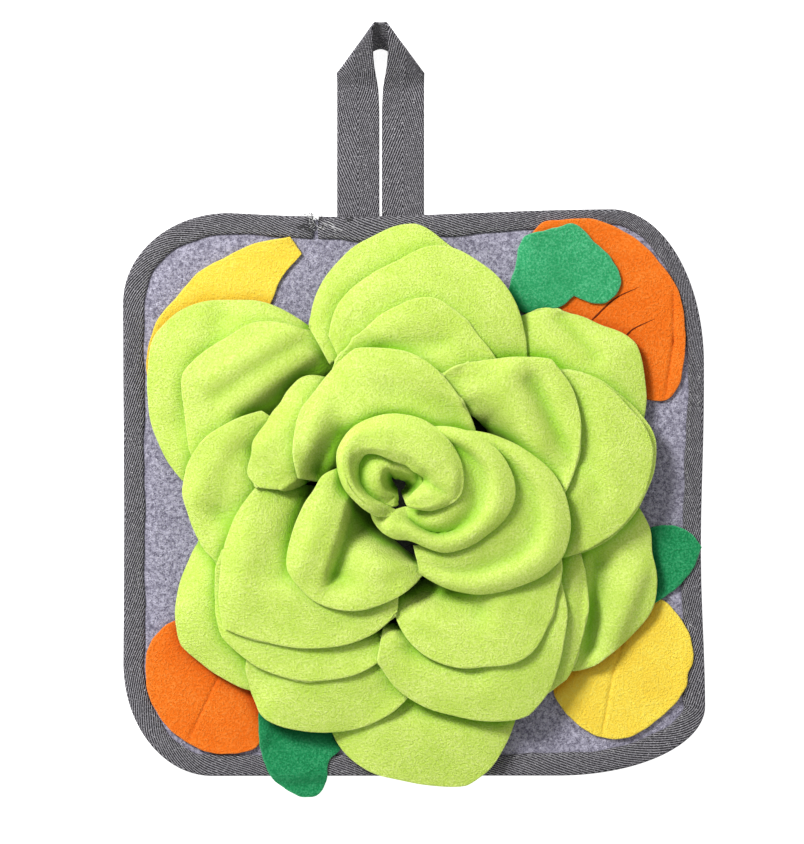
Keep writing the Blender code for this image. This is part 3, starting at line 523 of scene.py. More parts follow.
# Rings of the felt and of the backing disc, with the innermost this share of the way out, and
# the felt's waves: their height, and how far one radian of them runs in X and in Y
FELT_RINGS = 40
FELT_UNDER_RINGS = 8
BACKING_RINGS = 12
HUB_SHARE = 0.02
FELT_WAVE = 0.12
FELT_WAVE_LONG = (7.0, 9.0)

# The least share of its width by its length that a cut petal's area is taken to fill
LEAST_FILL = 0.31

# Photograph's frame and camera
PHOTO_WIDTH = 804
PHOTO_HEIGHT = 844
MM_PER_PIXEL = 0.517
MAT_PIXEL = (414.0, 492.5)
CAMERA_HIGH = 3.0
CAMERA_REACH = 20.0
SENSOR = 36.0

# Floor and light. The lamp's place and size are in metres, like the camera's height.
FLOOR_LOW = -0.1
FLOOR_HALF = 6000.0
WORLD_STRENGTH = 0.56
LAMP_PLACE = (-1.3, 1.3, 1.8)
LAMP_SIZE = 0.7
LAMP_POWER = 84.0


def curve_through(places, values, wanted):
    """A smooth curve through rows of values, without overshoot between two of them."""
    places = np.asarray(places, float)
    values = np.asarray(values, float)
    spread = (slice(None),) + (None,) * (values.ndim - 1)
    steps = np.diff(places)[spread]
    slopes = np.diff(values, axis=0) / steps
    tangents = np.zeros_like(values)
    tangents[0] = slopes[0]
    tangents[-1] = slopes[-1]
    same_way = slopes[:-1] * slopes[1:] > 0
    weights = steps[:-1] + steps[1:]
    blend = (steps[1:] / weights) * slopes[:-1] + (steps[:-1] / weights) * slopes[1:]
    limit = 3.0 * np.minimum(np.abs(slopes[:-1]), np.abs(slopes[1:]))
    tangents[1:-1] = np.where(same_way, np.clip(blend, -limit, limit), 0.0)
    wanted = np.atleast_1d(np.asarray(wanted, float))
    index = np.clip(np.searchsorted(places, wanted) - 1, 0, len(places) - 2)
    width = steps[index]
    along = (wanted - places[index])[spread] / width
    start_weight = (1 + 2 * along) * (1 - along) ** 2
    end_weight = along ** 2 * (3 - 2 * along)
    start_turn = along * (1 - along) ** 2 * width
    end_turn = along ** 2 * (along - 1) * width
    return (
        start_weight * values[index]
        + end_weight * values[index + 1]
        + start_turn * tangents[index]
        + end_turn * tangents[index + 1]
    )


def distance_along(line):
    """How far along a line of points each one lies."""
    steps = np.linalg.norm(np.diff(line, axis=0), axis=1)
    return np.concatenate([[0.0], np.cumsum(steps)])


def small_waves(waves, place, number=1):
    """Small unevenness along a cut or a tape, different for each numbered piece."""
    return sum(wave.size * np.sin(wave.rate * place + wave.shift * number) for wave in waves)


def trimmed_corners():
    """The corners with their round stretches cut to follow the real mat's."""
    corners = {}
    for name, corner in CORNERS.items():
        before, after = CORNER_TRIMS[name]
        corners[name] = corner._replace(before=corner.before + before, after=corner.after + after)
    return corners


def panel_outline(corners, corner_steps, side_steps):
    """The panel's outer edge, clockwise from the left side's top, with the tape's width."""
    names = list(corners)
    sides = list(SIDES.values())
    points = []
    for index, name in enumerate(names):
        corner = corners[name]
        towards = corners[names[index - 1]]
        beyond = corners[names[(index + 1) % len(names)]]
        back = np.array([towards.x - corner.x, towards.y - corner.y])
        onward = np.array([beyond.x - corner.x, beyond.y - corner.y])
        length = np.linalg.norm(onward)
        back = back / np.linalg.norm(back)
        onward = onward / length
        meet = np.array([corner.x, corner.y])
        side = sides[index]
        next_side = sides[(index + 1) % len(sides)]
        for step in range(corner_steps):
            turn = 0.5 * math.pi * step / corner_steps
            towards_start = back * corner.before * (1 - math.sin(turn))
            towards_end = onward * corner.after * (1 - math.cos(turn))
            points.append((*(meet + towards_start + towards_end), side.tape_start))
        run = length - corner.after - beyond.before
        inward = np.array([onward[1], -onward[0]])
        power = math.log(0.5) / math.log(side.peak)
        widths = [side.tape_start, side.tape_middle, next_side.tape_start]
        for step in range(side_steps):
            along = step / side_steps
            bow = side.bow * math.sin(math.pi * along ** power) ** 2
            place = meet + onward * (corner.after + run * along) + inward * bow
            points.append((*place, curve_through([0.0, 0.5, 1.0], widths, along)[0]))
    return np.array(points)


def inward_normals(outline):
    ahead = np.roll(outline[:, :2], -1, axis=0)
    behind = np.roll(outline[:, :2], 1, axis=0)
    along = ahead - behind
    along /= np.linalg.norm(along, axis=1)[:, None]
    return np.stack([along[:, 1], -along[:, 0]], axis=1)


def loop_lift(x, y):
    """How far the panel's edge is raised where the loop's tape lies under it."""
    reach = LOOP_CUTS[0].outer_out + LOOP_LIFT_REACH
    outside = np.maximum(np.abs(x - LOOP_MIDDLE) - reach, 0.0)
    near = np.clip(1.0 - outside / LOOP_LIFT_EASE, 0.0, 1.0)
    near = near * near * (3 - 2 * near)
    return np.where(y > 0, LOOP_LIFT * near, 0.0)


def inset_ring(outline, normals, inset, height):
    """The panel's outline moved in by an inset, at a height."""
    inset = np.broadcast_to(inset, len(outline))
    place = outline[:, :2] + normals * inset[:, None]
    return np.column_stack([place, np.broadcast_to(height, len(outline))])


def under_width(outline):
    """How far the tape reaches in under the panel."""
    return TAPE_WIDTH - 2 * TAPE_FOLD_RADIUS - outline[:, 2]


def backing_rim(height):
    turn = np.linspace(0.0, 2 * math.pi, BACKING_STEPS, endpoint=False)
    x = ROSE[0] + BACKING_RADIUS * np.cos(turn)
    y = ROSE[1] + BACKING_RADIUS * np.sin(turn)
    return np.column_stack([x, y, np.full(BACKING_STEPS, height)])


def between_points(grid, parts):
    """Points on a grid's own triangles, close enough together to fill the height map."""
    along = np.arange(parts[0]) / parts[0]
    across = np.arange(parts[1]) / parts[1]
    a = along[None, :, None, None]
    b = across[None, None, None, :]
    corner = grid[:-1, :-1]
    right = grid[1:, :-1]
    far = grid[1:, 1:]
    left = grid[:-1, 1:]

    def spread(values):
        return values[:, None, :, None]

    samples = []
    for axis in range(grid.shape[2]):
        start, first, last, other = (spread(part[:, :, axis]) for part in (corner, right, far, left))
        lower = start + a * (first - start) + b * (last - first)
        upper = start + b * (other - start) + a * (last - other)
        samples.append(np.where(a >= b, lower, upper))
    return np.stack(samples, axis=-1)


def around(values):
    """The mean of each value's four neighbours."""
    wide = np.pad(values, 1, mode="edge")
    return 0.25 * (wide[:-2, 1:-1] + wide[2:, 1:-1] + wide[1:-1, :-2] + wide[1:-1, 2:])


def raise_corners(lift, short, parts, evenly):
    """Raise each cell's corners by what the cell lacks, the nearer corner the more."""
    raised = lift.copy()
    along = (np.arange(parts[0]) / parts[0])[None, :, None, None]
    across = (np.arange(parts[1]) / parts[1])[None, None, None, :]
    rows, columns = short.shape[0], short.shape[2]
    for over, near_row in ((0, 1.0 - along), (1, along)):
        for down, near_column in ((0, 1.0 - across), (1, across)):
            share = 1.0 if evenly else near_row * near_column
            wanted = lift[over:over + rows, down:down + columns] + (short * share).max(axis=(1, 3))
            view = raised[over:over + rows, down:down + columns]
            np.maximum(view, wanted, out=view)
    return raised


class Pile:
    """The height of everything laid so far, on a map of small square cells."""

    def __init__(self):
        size = [int(length / CELL) for length in MAP_SIZE]
        self.high = np.zeros(size)

    def cells(self, x, y):
        column = ((x - MAP_LOW[0]) / CELL).astype(int)
        row = ((y - MAP_LOW[1]) / CELL).astype(int)
        return column, row

    def parts(self, grid):
        down = np.linalg.norm(np.diff(grid[:, :, :2], axis=0), axis=2).max()
        over = np.linalg.norm(np.diff(grid[:, :, :2], axis=1), axis=2).max()
        return max(2, math.ceil(down / SAMPLE)), max(2, math.ceil(over / SAMPLE))

    def add(self, grid):
        samples = between_points(grid, self.parts(grid))
        column, row = self.cells(samples[..., 0], samples[..., 1])
        np.maximum.at(self.high, (column.ravel(), row.ravel()), samples[..., 2].ravel())

    def add_fan(self, ring, high):
        """Add a flat face inside a closed ring."""
        middle = np.broadcast_to(ring.mean(axis=0), ring.shape)
        fan = np.stack([ring, middle], axis=1)
        fan[:, :, 2] = high
        self.add(np.concatenate([fan, fan[:1]]))

    def grown(self):
        """The map with each height spread to the cells within the edge clearance."""
        reach = int(EDGE_CLEAR / CELL)
        wide = self.high.copy()
        for over in range(-reach, reach + 1):
            for down in range(-reach, reach + 1):
                if math.hypot(over, down) <= reach + 0.5:
                    wide = np.maximum(wide, np.roll(self.high, (over, down), axis=(0, 1)))
        return wide

    def softened(self):
        """The grown map with its steps smoothed, for cloth that lies softly over them."""
        soft = self.grown()
        for _ in range(SOFT_PASSES):
            soft = around(soft)
        return soft

    def lay(self, grid, thick, passes, gap):
        """Lift a sheet clear of the pile, add its top to the pile, return top and bottom."""
        parts = self.parts(grid)
        samples = between_points(grid, parts)
        floor = self.grown()[self.cells(samples[..., 0], samples[..., 1])] + gap
        lift = np.zeros(grid.shape[:2])
        for settling in range(SETTLE_PASSES + 1):
            lifted = np.dstack([grid[:, :, :2], grid[:, :, 2] + lift])
            short = np.maximum(floor - between_points(lifted, parts)[..., 2], 0.0)
            last = settling == SETTLE_PASSES
            lift = raise_corners(lift, short, parts, evenly=last)
        needed = grid[:, :, 2] + lift
        smooth = needed.copy()
        for _ in range(passes):
            lift = np.maximum(lift, around(lift))
            smooth = np.maximum(smooth, around(smooth))
        bottom = grid.copy()
        bottom[:, :, 2] = np.minimum(grid[:, :, 2] + lift, smooth)
        top = bottom.copy()
        top[:, :, 2] += thick * upright_factor(bottom)
        self.add(top)
        return top, bottom


def read_map(values, x, y):
    """A map's height at places between the middles of its cells."""
    column = (x - MAP_LOW[0]) / CELL - 0.5
    row = (y - MAP_LOW[1]) / CELL - 0.5
    left = np.floor(column).astype(int)
    low = np.floor(row).astype(int)
    across = column - left
    up = row - low
    near = (1.0 - across) * values[left, low] + across * values[left + 1, low]
    far = (1.0 - across) * values[left, low + 1] + across * values[left + 1, low + 1]
    return (1.0 - up) * near + up * far


def upright_factor(grid):
    """How much taller than its thickness a sloping sheet stands."""
    across = np.gradient(grid, axis=0)
    along = np.gradient(grid, axis=1)
    normal = np.cross(across, along)
    size = np.linalg.norm(normal, axis=2)
    return np.clip(size / np.maximum(np.abs(normal[:, :, 2]), 1e-9), 1.0, STEEPEST)


def fan_points(hub, bearings, heels, reaches, out):
    """A grid from the heel out to the rim, with one row for each bearing."""
    radius = heels[:, None] + (reaches - heels)[:, None] * out[None, :]
    turn = np.radians(bearings)[:, None]
    return hub[0] + radius * np.cos(turn), hub[1] + radius * np.sin(turn)


def arch(out, root, crest, rim, place):
    """A petal's profile: up from its root, over the crest and down to the rim."""
    rise = np.clip(out / place, 0.0, 1.0)
    fall = np.clip((out - place) / (1.0 - place), 0.0, 1.0)
    swell = np.sin(0.5 * math.pi * rise) ** CREST_FULLNESS
    return root + (crest - root) * swell - (crest - rim) * fall ** RIM_CURL


def fold_depth(piece, x, y):
    """How far a piece's folds lower each of its points."""
    lowered = np.zeros(np.shape(x))
    for fold in FOLDS.get(piece, ()):
        run_x = fold.to_x - fold.from_x
        run_y = fold.to_y - fold.from_y
        length = math.hypot(run_x, run_y)
        along = ((x - fold.from_x) * run_x + (y - fold.from_y) * run_y) / length
        away = ((y - fold.from_y) * run_x - (x - fold.from_x) * run_y) / length
        wide = np.where(away > 0, fold.left, fold.right)
        past = np.maximum(np.maximum(-along, along - length), 0.0)
        lowered += fold.depth * np.exp(-(away / wide) ** 2 - (past / fold.fade) ** 2)
    return lowered


def petal_surface(petal, number, turn, out, detail):
    """A petal at the given turns, -1 to 1, and distances out, 0 to 1."""
    spread = np.where(turn > 0, petal.left, petal.right)
    side = np.where(turn > 0, petal.left_side, petal.right_side)
    fullness = np.where(turn > 0, petal.left_round, petal.right_round)
    bearings = petal.bearing + turn * spread
    reaches = side + (petal.reach - side) * (1.0 - np.abs(turn) ** fullness)
    cut = curve_through(RIM_TURNS, RIM_CUTS[petal.name], turn)
    reaches = reaches + detail * (cut + WOBBLE * small_waves(RIM_WAVES, turn, number))
    middle, left, right = (detail * cut for cut in HEEL_CUTS.get(petal.name, (0, 0, 0)))
    heel = petal.heel + middle
    end_heel = np.where(turn > 0, petal.left_heel + left, petal.right_heel + right)
    heels = heel + (end_heel - heel) * np.abs(turn) ** SIDE_POWER
    x, y = fan_points(ROSE, bearings, heels, reaches, out)
    high = arch(out, ROOT_HIGH, petal.crest, petal.rim, CREST_PLACE)[None, :]
    lowered = 1.0 - SIDE_DROP * np.abs(turn)[:, None] ** SIDE_POWER
    round_wave = np.sin(RIPPLE_ROUND * turn + number)
    out_wave = np.sin(RIPPLE_OUT * out + RIPPLE_SHIFT * number)
    wave = RIPPLE * round_wave[:, None] * (out_wave * out)[None, :]
    curl_wave = np.sin(CURL_ROUND * turn + CURL_SHIFT * number)
    curl = CURL * curl_wave[:, None] * (out ** 3)[None, :]
    high = ROOT_HIGH + (high - ROOT_HIGH) * lowered + wave + detail * curl
    high = high - detail * fold_depth(petal.name, x, y)
    return np.stack([x, y, high], axis=-1)


def bud_surface(name, number, turn, out):
    """A wrapped petal of the bud at turns from 0 to 1 along its sections."""
    sections = WRAPS[name]
    bearings = np.array([section.bearing for section in sections], float)
    while np.any(np.diff(bearings) > 0):
        later = int(np.argmax(np.diff(bearings) > 0)) + 1
        bearings[later:] -= 360.0
    turned = -bearings
    wanted = turned[0] + (turned[-1] - turned[0]) * turn

    def along(column):
        return curve_through(turned, [getattr(section, column) for section in sections], wanted)

    wobble = small_waves(RIM_WAVES, BUD_WOBBLE_TURNS * turn, number)
    reach = along("reach") + BUD_WOBBLE * wobble
    x, y = fan_points(BUD, -wanted, along("heel"), reach, out)
    trough = along("trough")
    levels = np.stack([along(level) for level in ("low", "swell", "valley", "lip", "rim")], axis=1)
    high = np.zeros(x.shape)
    for row, place in enumerate(trough):
        places = [0.0, 0.5 * place, place, place + 0.5 * (1.0 - place), 1.0]
        high[row] = curve_through(places, levels[row], out)
    high -= fold_depth(name, x, y)
    return np.stack([x, y, high], axis=-1)


def cut_outline(points, step):
    """A closed outline through given points, smooth but for its corners."""
    place = np.array([point[:2] for point in points])
    corner = np.array([len(point) > 2 for point in points])
    ahead = np.roll(place, -1, axis=0)
    behind = np.roll(place, 1, axis=0)
    before = np.linalg.norm(place - behind, axis=1)[:, None]
    after = np.linalg.norm(ahead - place, axis=1)[:, None]
    heading = (place - behind) / before * after + (ahead - place) / after * before
    heading /= before + after
    line = []
    for index in range(len(place)):
        other = (index + 1) % len(place)
        length = after[index, 0]
        straight = (ahead[index] - place[index]) / length
        leave = straight if corner[index] else heading[index]
        arrive = straight if corner[other] else heading[other]
        along = np.arange(math.ceil(length / step)) / math.ceil(length / step)
        along = along[:, None]
        line.append(
            (1 + 2 * along) * (1 - along) ** 2 * place[index]
            + along ** 2 * (3 - 2 * along) * place[other]
            + along * (1 - along) ** 2 * length * leave
            + along ** 2 * (along - 1) * length * arrive
        )
    return np.concatenate(line)


def cut_shape(name, number):
    """A flat shape as rings of points from near its middle out to its cut edge."""
    line = cut_outline(OUTLINES[name], CUT_STEP)
    turn = 2.0 * math.pi * np.arange(len(line)) / len(line)
    middle = line.mean(axis=0)
    outward = line - middle
    size = np.linalg.norm(outward, axis=1)
    wobble = small_waves(SHAPE_WAVES, turn, number)
    line = middle + outward * (1.0 + wobble / size)[:, None]
    cells = math.ceil(size.max() / CUT_STEP)
    near = 1.0 - CUT_ROUND * np.array([0.6, 0.3, 0.1, 0.0]) / size.max()
    inner = np.linspace(1.0 / cells, 1.0 - CUT_ROUND / size.max(), cells)
    shares = np.concatenate([inner, near])
    rings = middle + shares[:, None, None] * (line - middle)[None, :, :]
    grid = np.dstack([rings, np.zeros(rings.shape[:2])])
    return np.concatenate([grid, grid[:, :1]], axis=1)


def refine(values, coarse, fine):
    """A table of values read smoothly at finer rows and columns."""
    by_row = curve_through(coarse[0], values, fine[0])
    return curve_through(coarse[1], by_row.T, fine[1]).T


def even(low, cells, high=1.0):
    return np.linspace(low, high, cells + 1)


def close_to_edges(low, cells, length):
    """Even places from low to 1, with more of them inside the round of both cut edges."""
    near = np.array([0.0, 0.1, 0.3, 0.6]) * CUT_ROUND / length
    inner = np.linspace(CUT_ROUND / length, 1.0 - CUT_ROUND / length, cells + 1)
    places = np.concatenate([near, inner, 1.0 - near[::-1]])
    return low + (1.0 - low) * places


def edge_distance(grid, ring=False):
    """How far each point lies from the nearest edge, along the cloth."""
    down = np.linalg.norm(np.diff(grid, axis=0), axis=2)
    down = np.concatenate([np.zeros((1, grid.shape[1])), np.cumsum(down, axis=0)])
    if ring:
        return down[-1:] - down
    over = np.linalg.norm(np.diff(grid, axis=1), axis=2)
    over = np.concatenate([np.zeros((grid.shape[0], 1)), np.cumsum(over, axis=1)], axis=1)
    return np.minimum.reduce([down, down[-1:] - down, over, over[:, -1:] - over])


def grid_normals(grid):
    normal = np.cross(np.gradient(grid, axis=0), np.gradient(grid, axis=1))
    return normal / np.maximum(np.linalg.norm(normal, axis=2), 1e-9)[:, :, None]


def cloth_sides(middle, thick, ring=False):
    """The two faces of a cloth round a grid of points, thinner towards its cut edges."""
    normal = grid_normals(middle)
    if ring:
        wide = np.concatenate([middle[:, -3:-1], middle, middle[:, 1:3]], axis=1)
        normal = grid_normals(wide)[:, 2:-2]
    if normal[:, :, 2].mean() < 0:
        normal = -normal
    inside = np.clip(edge_distance(middle, ring) / CUT_ROUND, 0.0, 1.0)
    full = CUT_FLAT + (1.0 - CUT_FLAT) * np.sqrt(1.0 - (1.0 - inside) ** 2)
    offset = normal * (0.5 * thick * full)[:, :, None]
    return middle + offset, middle - offset


def sheet_quads(rows, columns):
    """Faces of a closed sheet: its first side, its second side and its edge."""
    index = np.arange(rows * columns).reshape(rows, columns)
    first = np.stack([index[:-1, :-1], index[1:, :-1], index[1:, 1:], index[:-1, 1:]], axis=-1)
    first = first.reshape(-1, 4)
    second = first[:, ::-1] + rows * columns
    edge = np.concatenate([index[:, 0], index[-1, 1:], index[-2::-1, -1], index[0, -2:0:-1]])
    ahead = np.roll(edge, -1)
    side = np.stack([edge, edge + rows * columns, ahead + rows * columns, ahead], axis=-1)
    return np.concatenate([first, second, side])


def ring_quads(rows, columns):
    """Faces between closed rings, each joined to the next."""
    index = np.arange(rows * columns).reshape(rows, columns)
    index = np.concatenate([index, index[:, :1]], axis=1)
    quads = np.stack([index[:-1, :-1], index[:-1, 1:], index[1:, 1:], index[1:, :-1]], axis=-1)
    return quads.reshape(-1, 4)


def signed_volume(points, quads):
    first = np.cross(points[quads[:, 1]], points[quads[:, 2]])
    second = np.cross(points[quads[:, 2]], points[quads[:, 3]])
    return float(np.sum(points[quads[:, 0]] * (first + second)))


def closed_faces(points, count):
    """Faces over rings of points and over both ends, all facing outward."""
    quads = ring_quads(len(points) // count, count)
    first = list(range(count))
    last = list(range(len(points) - count, len(points)))
    if signed_volume(points, quads) < 0:
        return quads[:, ::-1].tolist() + [first, last[::-1]]
    return quads.tolist() + [first[::-1], last]


def drawn_in(ring, middle, shares, high):
    """Copies of a ring, each drawn in to a share of its way from a middle point, at one height."""
    rings = middle + (ring - middle) * np.asarray(shares)[:, None, None]
    rings[:, :, 2] = high
    return rings


def new_piece(name, points, faces, material, floats=None, uv=None):
    """Make one smooth object from points in millimetres, with values on its points."""
    mesh = bpy.data.meshes.new(name)
    mesh.from_pydata((points * MM).tolist(), [], [tuple(face) for face in faces])
    mesh.update()
    for label, values in (floats or {}).items():
        layer = mesh.attributes.new(label, "FLOAT", "POINT")
        layer.data.foreach_set("value", np.asarray(values, np.float32).ravel())
    if uv is not None:
        layer = mesh.uv_layers.new(name="cloth")
        corners = np.zeros(len(mesh.loops), np.int32)
        mesh.loops.foreach_get("vertex_index", corners)
        layer.data.foreach_set("uv", np.asarray(uv, np.float32)[corners].ravel())
    mesh.materials.append(material)
    mesh.shade_smooth()
    piece = bpy.data.objects.new(name, mesh)
    bpy.context.collection.objects.link(piece)
    return piece


def sheet_piece(name, top, bottom, material, floats=None, uv=None):
    """Close a sheet between its two grids, with its faces pointing out."""
    quads = sheet_quads(*top.shape[:2])
    points = np.concatenate([top.reshape(-1, 3), bottom.reshape(-1, 3)])
    if signed_volume(points, quads) < 0:
        quads = quads[:, ::-1]
    twice = {label: np.tile(values.ravel(), 2) for label, values in (floats or {}).items()}
    uv = None if uv is None else np.tile(uv.reshape(-1, 2), (2, 1))
    return new_piece(name, points, quads.tolist(), material, twice, uv)


def flat_size(grid):
    """The width and length that a grid of points in millimetres was cut to, and its area."""
    down = np.linalg.norm(np.diff(grid, axis=0), axis=2).sum(axis=0).max()
    over = np.linalg.norm(np.diff(grid, axis=1), axis=2).sum(axis=1).max()
    across = np.cross(grid[1:, :-1] - grid[:-1, :-1], grid[:-1, 1:] - grid[:-1, :-1])
    area = np.linalg.norm(across, axis=2).sum()
    return down * MM, over * MM, area * MM * MM


def declare(piece, node):
    """Attach a cloth piece to the mat's body and hide the solid that it stands for."""
    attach(piece, "root")
    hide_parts(node)


class Layers:
    """The pile of the coarse solids and the pile of the finer pieces over it."""

    def __init__(self):
        self.solids = Pile()
        self.fine = Pile()

    def add_panel(self, outline, normals):
        tape = outline[:, 2]
        lift = loop_lift(outline[:, 0], outline[:, 1])
        section = [
            (tape, BINDING_HIGH),
            (TAPE_FOLD_RADIUS, BINDING_HIGH),
            (FOLD_SHOULDER_INSET, BINDING_HIGH - TAPE_FOLD_SHOULDER),
        ]
        rings = [inset_ring(outline, normals, inset, high + lift) for inset, high in section]
        edge_top = np.stack(rings, axis=1)
        for pile in (self.solids, self.fine):
            pile.add(np.concatenate([edge_top, edge_top[:1]]))
            pile.add_fan(rings[0], FELT_THICK)

    def add_backing(self):
        for pile in (self.solids, self.fine):
            pile.add_fan(backing_rim(BACKING_HIGH), BACKING_HIGH)

    def lay_petal(self, surface, coarse, fine):
        """Lay a petal as its solid lies, then its finer grid. Returns the cloth's middle."""
        rough = surface(*coarse, 0.0)
        _, under = self.solids.lay(rough, PETAL_THICK, SPREAD_PASSES, LAY_GAP)
        smooth = surface(*fine, 1.0)
        smooth[:, :, 2] += refine(under[:, :, 2] - rough[:, :, 2], coarse, fine)
        return self.lay_fine(smooth, PETAL_THICK, FINE_PASSES)

    def lay_fine(self, grid, thick, passes):
        """Lay a finer grid on what lies there. Returns the cloth's middle."""
        _, under = self.fine.lay(grid, thick, passes, FINE_GAP)
        under[:, :, 2] += 0.5 * thick * upright_factor(under)
        return under

    def lay_soft(self, grid, thick, tucked=0.0):
        """Lay a grid softly over the steps of what lies there. Returns the cloth's middle."""
        floor = read_map(self.fine.softened(), grid[:, :, 0], grid[:, :, 1]) + FINE_GAP
        if tucked:
            along = np.linspace(0.0, 1.0, len(grid))[:, None]
            floor = floor - TUCK_DEEP * np.clip(1.0 - along / tucked, 0.0, 1.0)
        apart = grid[:, :, 2] - floor
        top = grid.copy()
        top[:, :, 2] = floor + 0.5 * (apart + np.sqrt(apart ** 2 + SOFT_MEET ** 2))
        middle = top.copy()
        upright = thick * upright_factor(top)
        middle[:, :, 2] += 0.5 * upright
        top[:, :, 2] += upright
        self.fine.add(top)
        return middle

    def height(self, x, y):
        """The height of what has been laid at a place."""
        return read_map(self.fine.high, x, y)


# Materials


def linear(red, green, blue):
    """A colour given as display values of 0 to 255, in linear light."""
    shares = [value / 255.0 for value in (red, green, blue)]
    light = [s / 12.92 if s <= 0.04045 else ((s + 0.055) / 1.055) ** 2.4 for s in shares]
    return (*light, 1.0)


class Graph:
    """Adds and joins shader nodes in a material's or a group's tree."""

    def __init__(self, tree):
        self.tree = tree

    def put(self, node, inputs):
        """Join other nodes' outputs to a node's inputs, and set plain values on them."""
        for key, value in inputs.items():
            if isinstance(value, bpy.types.NodeSocket):
                self.tree.links.new(value, node.inputs[key])
            else:
                node.inputs[key].default_value = value

    def add(self, kind, inputs=None, **settings):
        node = self.tree.nodes.new(kind)
        for key, value in settings.items():
            setattr(node, key, value)
        self.put(node, inputs or {})
        return node

    def place(self):
        return self.add("ShaderNodeTexCoord").outputs["Object"]

    def stored(self, name):
        """A value kept on the mesh's points."""
        return self.add("ShaderNodeAttribute", attribute_name=name).outputs["Fac"]

    def math(self, operation, first, second=0.0):
        return self.add("ShaderNodeMath", {0: first, 1: second}, operation=operation).outputs[0]

    def mix(self, share, first, second):
        inputs = {"Factor": share, 6: first, 7: second}
        return self.add("ShaderNodeMix", inputs, data_type="RGBA").outputs[2]

    def stretch(self, value, low, high, to_low=0.0, to_high=1.0):
        inputs = {"Value": value, "From Min": low, "From Max": high, "To Min": to_low, "To Max": to_high}
        return self.add("ShaderNodeMapRange", inputs).outputs[0]

    def noise(self, place, scale, detail=2.0, rough=0.5):
        inputs = {"Vector": place, "Scale": scale, "Detail": detail, "Roughness": rough}
        return self.add("ShaderNodeTexNoise", inputs).outputs[0]


def new_group(name, inputs, outputs):
    """A node group, with its graph, its given values and the node that takes its results."""
    tree = bpy.data.node_groups.new(name, "ShaderNodeTree")
    for label, kind, value in inputs:
        socket = tree.interface.new_socket(label, in_out="INPUT", socket_type=kind)
        if value is not None:
            socket.default_value = value
    for label, kind in outputs:
        tree.interface.new_socket(label, in_out="OUTPUT", socket_type=kind)
    graph = Graph(tree)
    start = graph.add("NodeGroupInput")
    end = graph.add("NodeGroupOutput")
    return tree, graph, start.outputs, end


COLOUR = "NodeSocketColor"
NUMBER = "NodeSocketFloat"


def make_fleece_group():
    """Short brushed pile: small tufts, broad soft patches, a paler cut edge and shade painted into its
    nooks.
    """
    tree, graph, given, result = new_group(
        "brushed_pile",
        [
            ("Body", COLOUR, None), ("Deep", COLOUR, None), ("Pale", COLOUR, None),
            ("Nook", COLOUR, None), ("Nook Share", NUMBER, 0.85),
            ("Hollow", COLOUR, None), ("Hollow Share", NUMBER, 0.0),
            ("Tuft Size", NUMBER, 1.0), ("Mottle", NUMBER, 0.5), ("Cut Edge", NUMBER, 0.5),
        ],
        [("Colour", COLOUR), ("Height", NUMBER)],
    )
    place = graph.place()
    scale = graph.math("DIVIDE", 1000.0, given["Tuft Size"])
    tufts = graph.noise(place, scale, 3.0, 0.65)
    patches = graph.noise(place, 60.0, 2.0, 0.5)
    fibres = graph.noise(place, graph.math("MULTIPLY", scale, 3.1), 1.0, 0.5)
    dark = graph.math("MULTIPLY", graph.stretch(tufts, 0.56, 0.3), given["Mottle"])
    light = graph.math("MULTIPLY", graph.stretch(tufts, 0.48, 0.74), given["Mottle"])
    colour = graph.mix(dark, given["Body"], given["Deep"])
    colour = graph.mix(light, colour, given["Pale"])
    broad = graph.math("MULTIPLY", graph.stretch(patches, 0.6, 0.35), 0.35)
    colour = graph.mix(broad, colour, given["Deep"])
    edge = graph.math("MULTIPLY", graph.stored("rim"), given["Cut Edge"])
    colour = graph.mix(edge, colour, given["Pale"])
    # Painted shade: the colour is drawn towards a darker, greener shade where the fleece lies below the
    # pile's smoothed surface, and darker still in the deepest hollows
    nook = graph.stored("nook")
    near = graph.math("MULTIPLY", graph.stretch(nook, 0.0, 1.0), given["Nook Share"])
    colour = graph.mix(near, colour, given["Nook"])
    deep = graph.math("MULTIPLY", graph.stretch(nook, 1.0, NOOK_MOST), given["Hollow Share"])
    colour = graph.mix(deep, colour, given["Hollow"])
    high_tufts = graph.math("MULTIPLY", tufts, 0.75)
    high_fibres = graph.math("MULTIPLY", fibres, 0.35)
    graph.put(result, {"Colour": colour, "Height": graph.math("ADD", high_tufts, high_fibres)})
    return tree


def make_weave_group():
    """Herringbone: steep ribs that meet in one line along the tape's middle."""
    tree, graph, given, result = new_group(
        "herringbone",
        [("Rib Pitch", NUMBER, 1.15), ("Slant", NUMBER, 0.36)],
        [("Rib", NUMBER), ("Thread", NUMBER)],
    )
    uv = graph.add("ShaderNodeUVMap", uv_map="cloth").outputs[0]
    parts = graph.add("ShaderNodeSeparateXYZ", {0: uv}).outputs
    away = graph.math("ABSOLUTE", parts[0])
    run = graph.math("SUBTRACT", away, graph.math("MULTIPLY", parts[1], given["Slant"]))
    turn = graph.math("MULTIPLY", graph.math("DIVIDE", run, given["Rib Pitch"]), 2.0 * math.pi)
    rib = graph.math("ADD", graph.math("MULTIPLY", graph.math("SINE", turn), 0.5), 0.5)
    across = graph.math("ADD", parts[1], graph.math("MULTIPLY", away, 0.5))
    step = graph.math("MULTIPLY", graph.math("DIVIDE", across, given["Rib Pitch"]), 2.6 * math.pi)
    thread = graph.math("ADD", graph.math("MULTIPLY", graph.math("SINE", step), 0.5), 0.5)
    graph.put(result, {"Rib": rib, "Thread": thread})
    return tree


def new_material(name, roughness, specular=0.15):
    material = bpy.data.materials.new(name)
    material.use_nodes = True
    graph = Graph(material.node_tree)
    shader = material.node_tree.nodes["Principled BSDF"]
    graph.put(shader, {"Metallic": 0.0, "Roughness": roughness, "Specular IOR Level": specular})
    return material, graph, shader


def add_bump(graph, shader, height, distance):
    bump = graph.add("ShaderNodeBump", {"Height": height, "Distance": distance, "Strength": 1.0})
    graph.put(shader, {"Normal": bump.outputs[0]})
